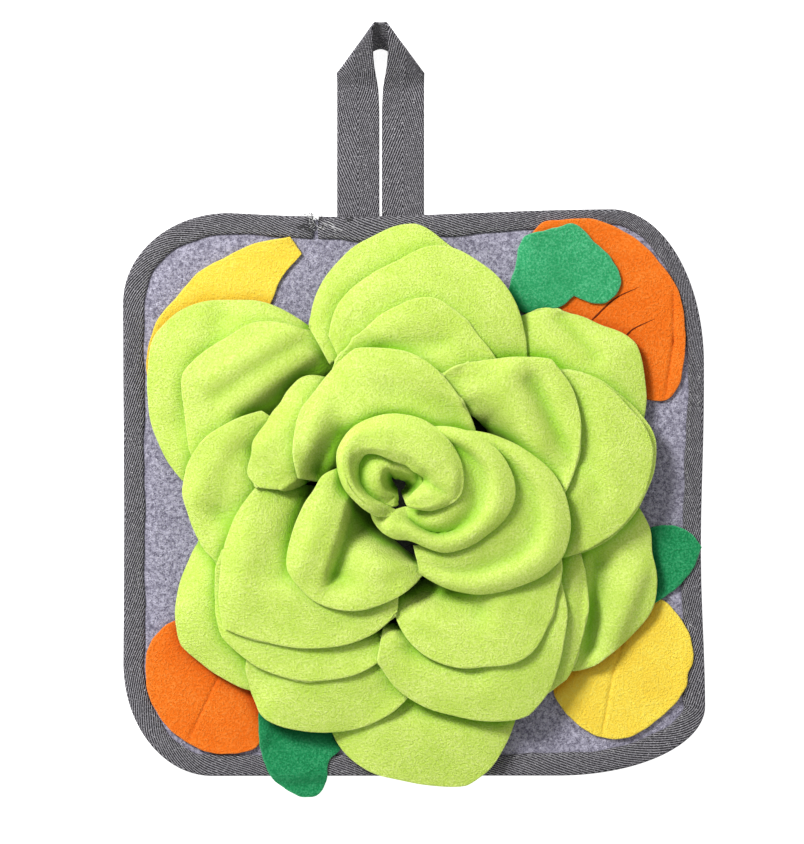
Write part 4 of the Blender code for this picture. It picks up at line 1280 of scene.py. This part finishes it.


# The fleeces' colours, as display values, with the colour of the shade painted into their nooks,
# and how strongly the painted shade darkens further in the deepest hollows, the tufts mottle and the cut
# edge pales
Fleece = namedtuple("Fleece", "body deep pale nook hollow mottle cut_edge")
# How dark the painted shade in the deepest hollows is, as a share of the shade colour painted into nooks
HOLLOW_SHADE_DARK = 0.3
FLEECES = {
    "lime": Fleece((214, 237, 113), (180, 216, 66), (236, 250, 164), (124, 196, 12), 0.7, 0.75, 0.3),
    "yellow": Fleece((255, 228, 80), (250, 204, 56), (255, 241, 128), (226, 160, 20), 0.0, 0.5, 0.25),
    "orange": Fleece((250, 126, 34), (232, 98, 14), (255, 162, 82), (190, 62, 4), 0.0, 0.6, 0.3),
    "leaf": Fleece((38, 148, 92), (14, 112, 60), (88, 186, 130), (6, 92, 44), 0.0, 0.7, 0.5),
    "heart": Fleece((62, 172, 114), (32, 142, 82), (122, 214, 162), (14, 120, 62), 0.0, 0.75, 0.5),
}


def make_fleece(name, group):
    look = FLEECES[name]
    material, graph, shader = new_material(name, 0.95, 0.08)
    pile = graph.add(
        "ShaderNodeGroup",
        {
            "Body": linear(*look.body),
            "Deep": linear(*look.deep),
            "Pale": linear(*look.pale),
            # The next two colours are painted shade, for the fleece's nooks and its deepest hollows
            "Nook": linear(*look.nook),
            "Hollow": linear(*(HOLLOW_SHADE_DARK * shade for shade in look.nook)),
            "Hollow Share": look.hollow,
            "Mottle": look.mottle,
            "Cut Edge": look.cut_edge,
        },
        node_tree=group,
    )
    graph.put(shader, {
        "Base Color": pile.outputs["Colour"],
        "Sheen Weight": 0.12,
        "Sheen Roughness": 0.5,
        "Sheen Tint": linear(*look.pale),
    })
    add_bump(graph, shader, pile.outputs["Height"], 0.0017)
    return material


def make_felt_material():
    """Grey marl: pale and dark fibres felted together."""
    material, graph, shader = new_material("felt", 0.95, 0.05)
    place = graph.place()
    clumps = graph.noise(place, 520.0, 4.0, 0.75)
    specks = graph.noise(place, 1300.0, 2.0, 0.6)
    lint = graph.noise(place, 900.0, 2.0, 0.6)
    colour = graph.mix(graph.stretch(clumps, 0.36, 0.64), linear(102, 99, 115), linear(178, 175, 192))
    colour = graph.mix(graph.stretch(specks, 0.46, 0.28), colour, linear(70, 68, 84))
    colour = graph.mix(graph.stretch(lint, 0.58, 0.8, 0.0, 0.7), colour, linear(228, 226, 240))
    graph.put(shader, {"Base Color": colour})
    add_bump(graph, shader, graph.math("ADD", specks, clumps), 0.0006)
    return material


def make_tape_material(group):
    """Charcoal herringbone with slubs and pale dust."""
    material, graph, shader = new_material("tape", 0.8, 0.08)
    weave = graph.add("ShaderNodeGroup", node_tree=group)
    place = graph.place()
    slubs = graph.noise(place, 900.0, 2.0, 0.7)
    dust = graph.noise(place, 1700.0, 1.0, 0.5)
    strand = graph.stretch(weave.outputs["Thread"], 0.2, 0.8, 0.45, 1.05)
    shade = graph.math("MULTIPLY", graph.stretch(weave.outputs["Rib"], 0.25, 0.8), strand)
    shade = graph.math("MULTIPLY", shade, graph.stretch(slubs, 0.3, 0.7, 0.45, 1.3))
    colour = graph.mix(shade, linear(34, 32, 36), linear(166, 164, 170))
    colour = graph.mix(graph.stretch(dust, 0.6, 0.76, 0.0, 0.75), colour, linear(210, 208, 212))
    graph.put(shader, {"Base Color": colour})
    add_bump(graph, shader, weave.outputs["Rib"], 0.0005)
    return material


def make_thread_material(name, shade):
    material, graph, shader = new_material(name, 0.7)
    graph.put(shader, {"Base Color": linear(shade, shade, shade)})
    return material


def make_backing_material():
    material, graph, shader = new_material("backing", 0.95)
    place = graph.place()
    fuzz = graph.noise(place, 1200.0, 2.0, 0.6)
    colour = graph.mix(graph.stretch(fuzz, 0.4, 0.75), linear(16, 17, 16), linear(52, 56, 46))
    graph.put(shader, {"Base Color": colour})
    add_bump(graph, shader, fuzz, 0.0003)
    return material


def make_slit_shadow_material():
    """Painted shadow: the dark, shadowed inside of a cut in the fleece."""
    material, graph, shader = new_material("slit", 1.0)
    place = graph.place()
    fuzz = graph.noise(place, 1500.0, 1.0, 0.5)
    colour = graph.mix(graph.stretch(fuzz, 0.35, 0.7), linear(70, 22, 6), linear(120, 44, 14))
    graph.put(shader, {"Base Color": colour})
    return material


# Pieces


def outline_of(corners, corner_steps, side_steps):
    outline = panel_outline(corners, corner_steps, side_steps)
    return outline, inward_normals(outline)


def make_binding(outline, normals, material):
    """The folded tape: a soft C section swept round the panel, from end to end."""
    start = int(np.argmin(np.hypot(outline[:, 0] - TAPE_END[0], outline[:, 1] - TAPE_END[1])))
    outline = np.roll(outline, -start, axis=0)
    normals = np.roll(normals, -start, axis=0)
    lift = loop_lift(outline[:, 0], outline[:, 1])
    run = distance_along(outline[:, :2])
    at_root = np.exp(-((outline[:, 0] - ROOT_FLAP_X) / ROOT_FLAP_LONG) ** 4) * (outline[:, 1] > 0)
    tape = outline[:, 2] + small_waves(TAPE_WIDTH_WAVES, run) + ROOT_FLAP_WIDER * at_root
    puff = TAPE_PUFF * (1.0 + small_waves(TAPE_PUFF_WAVES, run))
    fold = TAPE_FOLD_RADIUS + small_waves(TAPE_FOLD_WAVES, run)
    under = under_width(outline)
    high = BINDING_HIGH
    section = [
        (tape, high - TAPE_THICK),
        (tape + TAPE_EDGE_ROUND, high - 0.6 * TAPE_THICK),
        (tape, high - TAPE_EDGE_ROUND),
    ]
    for share in np.linspace(0.06, 1.0, 9):
        swell = puff * math.sin(math.pi * share) ** 0.7
        section.append((tape * (1 - share) + fold * share, high + swell))
    for turn in np.linspace(0.0, math.pi, 8)[1:-1]:
        section.append((fold * (1 - math.sin(turn)), 0.5 * high * (1 + math.cos(turn))))
    section += [
        (fold, 0.0),
        (0.5 * (fold + under), 0.0),
        (under, 0.0),
        (under, TAPE_THICK),
        (WALL_THICK + INNER_CHAMFER, TAPE_THICK),
        (WALL_THICK, MARGIN_LOW),
        (WALL_THICK, MARGIN_HIGH),
        (WALL_THICK + INNER_CHAMFER, high - TAPE_THICK),
    ]
    rings = np.array([inset_ring(outline, normals, inset, level + lift) for inset, level in section])
    steps = np.linalg.norm(np.diff(rings, axis=0), axis=2).mean(axis=1)
    across = np.concatenate([[0.0], np.cumsum(steps)]) - 0.5 * TAPE_WIDTH
    points = rings.transpose(1, 0, 2).reshape(-1, 3)
    uv = np.stack(np.meshgrid(across, run), axis=-1).reshape(-1, 2)
    piece = new_piece("bound_edge", points, closed_faces(points, len(section)), material, uv=uv)
    declare(piece, "edge_binding")
    return inset_ring(outline, normals, tape - STITCH_INSET, high + lift + 0.75 * puff)


class Threads:
    """Thin round threads gathered into one object."""

    def __init__(self):
        self.points = []
        self.faces = []

    def add(self, line, radius, sides=5):
        """A thread along a line of points, closed at both ends."""
        line = np.asarray(line, float)
        ahead = np.gradient(line, axis=0)
        ahead /= np.linalg.norm(ahead, axis=1)[:, None]
        beside = np.cross(ahead, [0.0, 0.0, 1.0])
        beside /= np.maximum(np.linalg.norm(beside, axis=1), 1e-6)[:, None]
        up = np.cross(beside, ahead)
        turn = 2.0 * math.pi * np.arange(sides) / sides
        ring = (
            np.cos(turn)[None, :, None] * beside[:, None, :]
            + np.sin(turn)[None, :, None] * up[:, None, :]
        )
        thin = radius * np.sqrt(np.clip(1.15 - np.linspace(-1.0, 1.0, len(line)) ** 2, 0.1, 1.0))
        first = sum(len(part) for part in self.points)
        self.points.append((line[:, None, :] + thin[:, None, None] * ring).reshape(-1, 3))
        last = first + (len(line) - 1) * sides
        self.faces += (ring_quads(len(line), sides) + first).tolist()
        self.faces += [list(range(first, first + sides))[::-1], list(range(last, last + sides))]

    def make(self, name, material):
        piece = new_piece(name, np.concatenate(self.points), self.faces, material)
        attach(piece, "root")


def make_stitches(line, material):
    """The tape's own seam: short stitches in a row beside its inner edge."""
    closed = np.concatenate([line, line[:1]])
    run = distance_along(closed)
    stitches = Threads()
    chance = random.Random(4)
    for start in np.arange(STITCH_START, run[-1] - STITCH_PITCH, STITCH_PITCH):
        places = start + np.linspace(0.0, STITCH_LONG, len(STITCH_DIPS))
        dash = np.stack([np.interp(places, run, closed[:, axis]) for axis in range(3)], axis=1)
        dash[:, 2] += STITCH_DIPS
        dash[:, :2] += chance.uniform(-STITCH_ASTRAY, STITCH_ASTRAY)
        stitches.add(dash, STITCH_RADIUS)
    stitches.make("binding_stitches", material)


def make_loose_threads(layers, pale, dark):
    """The frayed end of the tape and the thread ends left at the seams."""
    chance = random.Random(11)
    groups = {"pale": Threads(), "dark": Threads()}
    for fray in FRAYS:
        for _ in range(fray.count):
            x = fray.x + chance.uniform(-1.0, 1.0) * fray.wide
            y = fray.y + chance.uniform(-1.0, 1.0) * fray.deep
            heading = math.radians(fray.heading + chance.uniform(-1.0, 1.0) * fray.fan)
            bend = chance.uniform(-0.9, 0.9)
            length = fray.length * chance.uniform(0.5, 1.1)
            along = np.linspace(0.0, 1.0, FRAY_POINTS)
            turn = heading + bend * along
            step = length / (FRAY_POINTS - 1)
            px = x + np.cumsum(np.cos(turn)) * step
            py = y + np.cumsum(np.sin(turn)) * step
            base = np.maximum(layers.height(px, py), FRAY_CLEAR)
            hang = np.maximum(base, base[0] * (1.0 - FRAY_DROOP * along))
            high = hang + FRAY_CLEAR + fray.rise * np.sin(math.pi * along)
            groups[fray.shade].add(np.stack([px, py, high], axis=1), fray.radius)
    groups["pale"].make("pale_threads", pale)
    groups["dark"].make("dark_threads", dark)


def make_felt(outline, normals, material):
    """The felt panel, with a gently uneven face."""
    tape = outline[:, 2]
    under = under_width(outline)
    lift = loop_lift(outline[:, 0], outline[:, 1])
    inner = inset_ring(outline, normals, tape + PART_GAP + MARGIN_RAMP, FELT_THICK)
    low = inset_ring(outline, normals, under + PART_GAP + MARGIN_RAMP, 0.0)
    middle = inner.mean(axis=0)
    shares = np.linspace(HUB_SHARE, 1.0, FELT_RINGS)
    face = drawn_in(inner, middle, shares, FELT_THICK)
    x, y = face[:, :, 0], face[:, :, 1]
    wave = FELT_WAVE * np.sin(x / FELT_WAVE_LONG[0]) * np.sin(y / FELT_WAVE_LONG[1])
    face[:, :, 2] += wave * (1.0 - shares ** 8)[:, None]
    margin = [
        inset_ring(outline, normals, tape + PART_GAP, MARGIN_HIGH + lift),
        inset_ring(outline, normals, FELT_INSET, MARGIN_HIGH + lift),
        inset_ring(outline, normals, FELT_INSET, MARGIN_LOW + lift),
        inset_ring(outline, normals, under + PART_GAP, MARGIN_LOW + lift),
    ]
    base = drawn_in(low, middle, np.linspace(1.0, HUB_SHARE, FELT_UNDER_RINGS), 0.0)
    points = np.concatenate([*face, *margin, *base])
    piece = new_piece("felt_panel", points, closed_faces(points, len(outline)), material)
    declare(piece, "felt_base")


def make_backing(material):
    """The dark cloth disc under the petals."""
    middle = np.array([ROSE[0], ROSE[1], 0.0])
    rim = backing_rim(0.0)
    face = drawn_in(rim, middle, np.linspace(HUB_SHARE, 1.0, BACKING_RINGS), BACKING_HIGH)
    base = drawn_in(rim, middle, [1.0, HUB_SHARE], BACKING_LOW)
    points = np.concatenate([*face, *base])
    piece = new_piece("rose_ground", points, closed_faces(points, BACKING_STEPS), material)
    declare(piece, "rose_backing")


def loop_rails(cells):
    """The loop's two edges at even steps along it, from its left root to its right root."""
    left = np.array(LOOP_CUTS, float)
    right = left[-2::-1]
    rails = []
    for cuts, side in ((left, -1.0), (right, 1.0)):
        for cut in cuts:
            outer = (LOOP_MIDDLE + side * cut[0], cut[1], cut[2])
            inner = (LOOP_MIDDLE + side * cut[3], cut[4], cut[5])
            rails.append((outer, inner))
    rails = np.array(rails)
    run = distance_along(rails.mean(axis=1))
    return curve_through(run, rails, even(0.0, cells, run[-1])), run[-1]


def make_loop(material):
    """The hanging loop, folded over itself at its peak."""
    rails, length = loop_rails(FINE_LOOP[0])
    share = even(0.0, FINE_LOOP[1])[None, :, None]
    middle = rails[:, :1] * (1.0 - share) + rails[:, 1:] * share
    offset = grid_normals(middle) * 0.5 * TAPE_THICK
    run = even(0.0, FINE_LOOP[0], length)
    across = (share[0, :, 0] - 0.5) * TAPE_WIDTH
    uv = np.stack(np.meshgrid(across, run), axis=-1)
    piece = sheet_piece("hanging_tape", middle + offset, middle - offset, material, uv=uv)
    declare(piece, "hanging_loop")


APPLIQUE_SLOT = {
    "banana_applique": "yellow",
    "carrot_applique": "orange",
    "orange_disc_applique": "orange",
    "yellow_disc_applique": "yellow",
    "heart_leaf_applique": "heart",
    "leaf_right_applique": "leaf",
    "leaf_bottom_applique": "leaf",
}


def make_applique(layers, name, number, material):
    """A flat fleece shape: rings out to the cut edge and back in under it."""
    middle = layers.lay_soft(cut_shape(name, number), APPLIQUE_THICK)
    middle[:, :, 2] -= 0.5 * fold_depth(name, middle[:, :, 0], middle[:, :, 1])
    top, bottom = cloth_sides(middle, APPLIQUE_THICK, ring=True)
    top[:, :, 2] -= 0.5 * fold_depth(name, middle[:, :, 0], middle[:, :, 1])
    rings = np.concatenate([top, bottom[::-1]])[:, :-1]
    points = rings.reshape(-1, 3)
    edge = np.clip(1.0 - edge_distance(middle, ring=True)[:, :-1] / RIM_BAND, 0.0, 1.0)
    floats = {"rim": np.concatenate([edge, edge[::-1]])}
    short = name.replace("_applique", "_cloth")
    piece = new_piece(short, points, closed_faces(points, rings.shape[1]), material, floats)
    declare(piece, name)


def make_appliques(layers, materials):
    for number, name in enumerate(OUTLINES):
        make_applique(layers, name, number, materials[APPLIQUE_SLOT[name]])
        if name == "carrot_applique":
            make_slit_shadows(layers, materials["slit"])


def make_slit_shadows(layers, material):
    """The carrot's two slits, as dark slivers of painted shadow that taper to their ends."""
    along = even(0.0, FINE_SLIT[0])
    taper = (1.0 - along) ** 0.6 * np.minimum(1.0, 8.0 * along + 0.3)
    half = SLIT_HALF_WIDE * taper + SLIT_LEAST
    for number, slit in enumerate(SLITS):
        line = curve_through([0.0, SLIT_MIDDLE, 1.0], slit, along)
        ahead = np.gradient(line, axis=0)
        beside = np.stack([-ahead[:, 1], ahead[:, 0]], axis=1)
        beside /= np.linalg.norm(ahead, axis=1)[:, None]
        rows = []
        for share in even(-1.0, FINE_SLIT[1]):
            place = line + beside * (share * half)[:, None]
            high = layers.height(line[:, 0], line[:, 1]) + SLIT_CROWN * (1.0 - abs(share))
            rows.append(np.column_stack([place, high]))
        top = np.stack(rows, axis=1)
        bottom = top - np.array([0.0, 0.0, SLIT_THICK])
        # Each sliver is a dark sheet of painted shadow laid on the carrot along its slit
        piece = sheet_piece(f"carrot_slit_{number + 1}", top, bottom, material)
        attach(piece, "root")


def make_petal(name, middle, material):
    """One cut fleece petal of the rose, from the points in the middle of its cloth."""
    top, bottom = cloth_sides(middle, PETAL_THICK)
    rim = np.clip(1.0 - edge_distance(middle) / RIM_BAND, 0.0, 1.0)
    piece = sheet_piece("fleece_" + name, top, bottom, material, {"rim": rim})
    width, length, area = flat_size(middle)
    area = min(max(area, LEAST_FILL * width * length), width * length)
    declare(piece, "petal_" + name)


def edge_grid(low, cells, span):
    """Turns along a petal and distances out over it, close together at its cut edges."""
    return close_to_edges(low, cells[0], span[0]), close_to_edges(0.0, cells[1], span[1])


def make_petals(layers, material):
    """The rose's petals, laid in their order, and then the bud's wrapped ones."""
    coarse = (even(-1.0, PETAL_GRID[0]), even(0.0, PETAL_GRID[1]))
    fine = edge_grid(-1.0, FINE_PETAL, PETAL_SPAN)
    for number, petal in enumerate(PETALS):

        def surface(turn, out, detail):
            return petal_surface(petal, number, turn, out, detail)

        make_petal(petal.name, layers.lay_petal(surface, coarse, fine), material)
    fine = edge_grid(0.0, FINE_BUD, BUD_SPAN)
    for number, name in enumerate(WRAPS_ORDER):
        surface = bud_surface(name, number, *fine)
        middle = layers.lay_soft(surface, PETAL_THICK, TUCKED.get(name, 0.0))
        make_petal(name, middle, material)


def paint_nook_shade(layers):
    """Mark how deep each fleece point lies below its surroundings, for the shade painted into its nooks.
    """
    around_it = layers.fine.high
    for _ in range(NOOK_PASSES):
        around_it = around(around_it)
    for piece in bpy.data.objects:
        if not piece.name.startswith("fleece_") and not piece.name.endswith("_cloth"):
            continue
        places = np.zeros(3 * len(piece.data.vertices), np.float32)
        piece.data.vertices.foreach_get("co", places)
        places = places.reshape(-1, 3) / MM
        below = read_map(around_it, places[:, 0], places[:, 1]) - places[:, 2]
        # The share of painted shade that each point gets from its depth below the smoothed pile
        nook = np.clip((below - NOOK_START) / NOOK_DEEP, 0.0, NOOK_MOST)
        layer = piece.data.attributes.new("nook", "FLOAT", "POINT")
        layer.data.foreach_set("value", nook.astype(np.float32))


# Camera, floor and light


def make_camera():
    """A camera high over the mat, that sees what the photograph's frame shows."""
    camera = bpy.data.cameras.new("camera")
    holder = bpy.data.objects.new("camera", camera)
    bpy.context.collection.objects.link(holder)
    x = (0.5 * PHOTO_WIDTH - MAT_PIXEL[0]) * MM_PER_PIXEL * MM
    y = (MAT_PIXEL[1] - 0.5 * PHOTO_HEIGHT) * MM_PER_PIXEL * MM
    holder.location = (x, y, CAMERA_HIGH)
    seen = PHOTO_HEIGHT * MM_PER_PIXEL * MM
    camera.sensor_fit = "VERTICAL"
    camera.sensor_height = SENSOR
    camera.lens = SENSOR * CAMERA_HIGH / seen
    camera.clip_end = CAMERA_REACH
    bpy.context.scene.camera = holder


def make_floor():
    """A white floor just under the mat, see-through from below."""
    mesh = bpy.data.meshes.new("floor")
    half = FLOOR_HALF * MM
    corners = [(-half, -half), (half, -half), (half, half), (-half, half)]
    mesh.from_pydata([(x, y, FLOOR_LOW * MM) for x, y in corners], [], [(0, 1, 2, 3)])
    floor = bpy.data.objects.new("floor", mesh)
    bpy.context.collection.objects.link(floor)
    material, graph, shader = new_material("floor", 0.9)
    graph.put(shader, {
        "Base Color": (0.9, 0.9, 0.9, 1.0),
        "Emission Color": (1.0, 1.0, 1.0, 1.0),
        "Emission Strength": 0.8,
    })
    under = graph.add("ShaderNodeNewGeometry").outputs["Backfacing"]
    clear = graph.add("ShaderNodeBsdfTransparent").outputs[0]
    either = graph.add("ShaderNodeMixShader", {0: under, 1: shader.outputs[0], 2: clear})
    graph.put(material.node_tree.nodes["Material Output"], {"Surface": either.outputs[0]})
    mesh.materials.append(material)


def make_light():
    """Even white light from all round, and one lamp at the upper left."""
    world = bpy.data.worlds.new("studio")
    bpy.context.scene.world = world
    world.use_nodes = True
    sky = world.node_tree.nodes["Background"]
    sky.inputs["Color"].default_value = (1.0, 1.0, 1.0, 1.0)
    sky.inputs["Strength"].default_value = WORLD_STRENGTH
    lamp = bpy.data.lights.new("key", "AREA")
    lamp.size = LAMP_SIZE
    lamp.energy = LAMP_POWER
    holder = bpy.data.objects.new("key", lamp)
    bpy.context.collection.objects.link(holder)
    holder.location = LAMP_PLACE
    holder.rotation_euler = aim_down(LAMP_PLACE)


def aim_down(place):
    """The turn that points a lamp's face at the mat."""
    flat = math.hypot(place[0], place[1])
    return (0.0, math.atan2(flat, place[2]), math.atan2(place[1], place[0]))


def main():
    make_camera()
    make_floor()
    make_light()
    bpy.context.scene.view_settings.view_transform = "Standard"
    fleece = make_fleece_group()
    materials = {name: make_fleece(name, fleece) for name in FLEECES}
    # The slit material is painted shadow, for the insides of the carrot's slits
    materials["slit"] = make_slit_shadow_material()
    tape = make_tape_material(make_weave_group())
    outline, normals = outline_of(CORNERS, CORNER_STEPS, SIDE_STEPS)
    fine_panel = outline_of(trimmed_corners(), FINE_CORNER_STEPS, FINE_SIDE_STEPS)
    make_felt(*fine_panel, make_felt_material())
    seam = make_binding(*fine_panel, tape)
    pale = make_thread_material("pale_thread", 205)
    dark = make_thread_material("dark_thread", 62)
    make_stitches(seam, make_thread_material("seam_thread", 118))
    make_loop(tape)
    make_backing(make_backing_material())
    layers = Layers()
    layers.add_panel(outline, normals)
    make_appliques(layers, materials)
    layers.add_backing()
    make_loose_threads(layers, pale, dark)
    make_petals(layers, materials["lime"])
    paint_nook_shade(layers)


main()
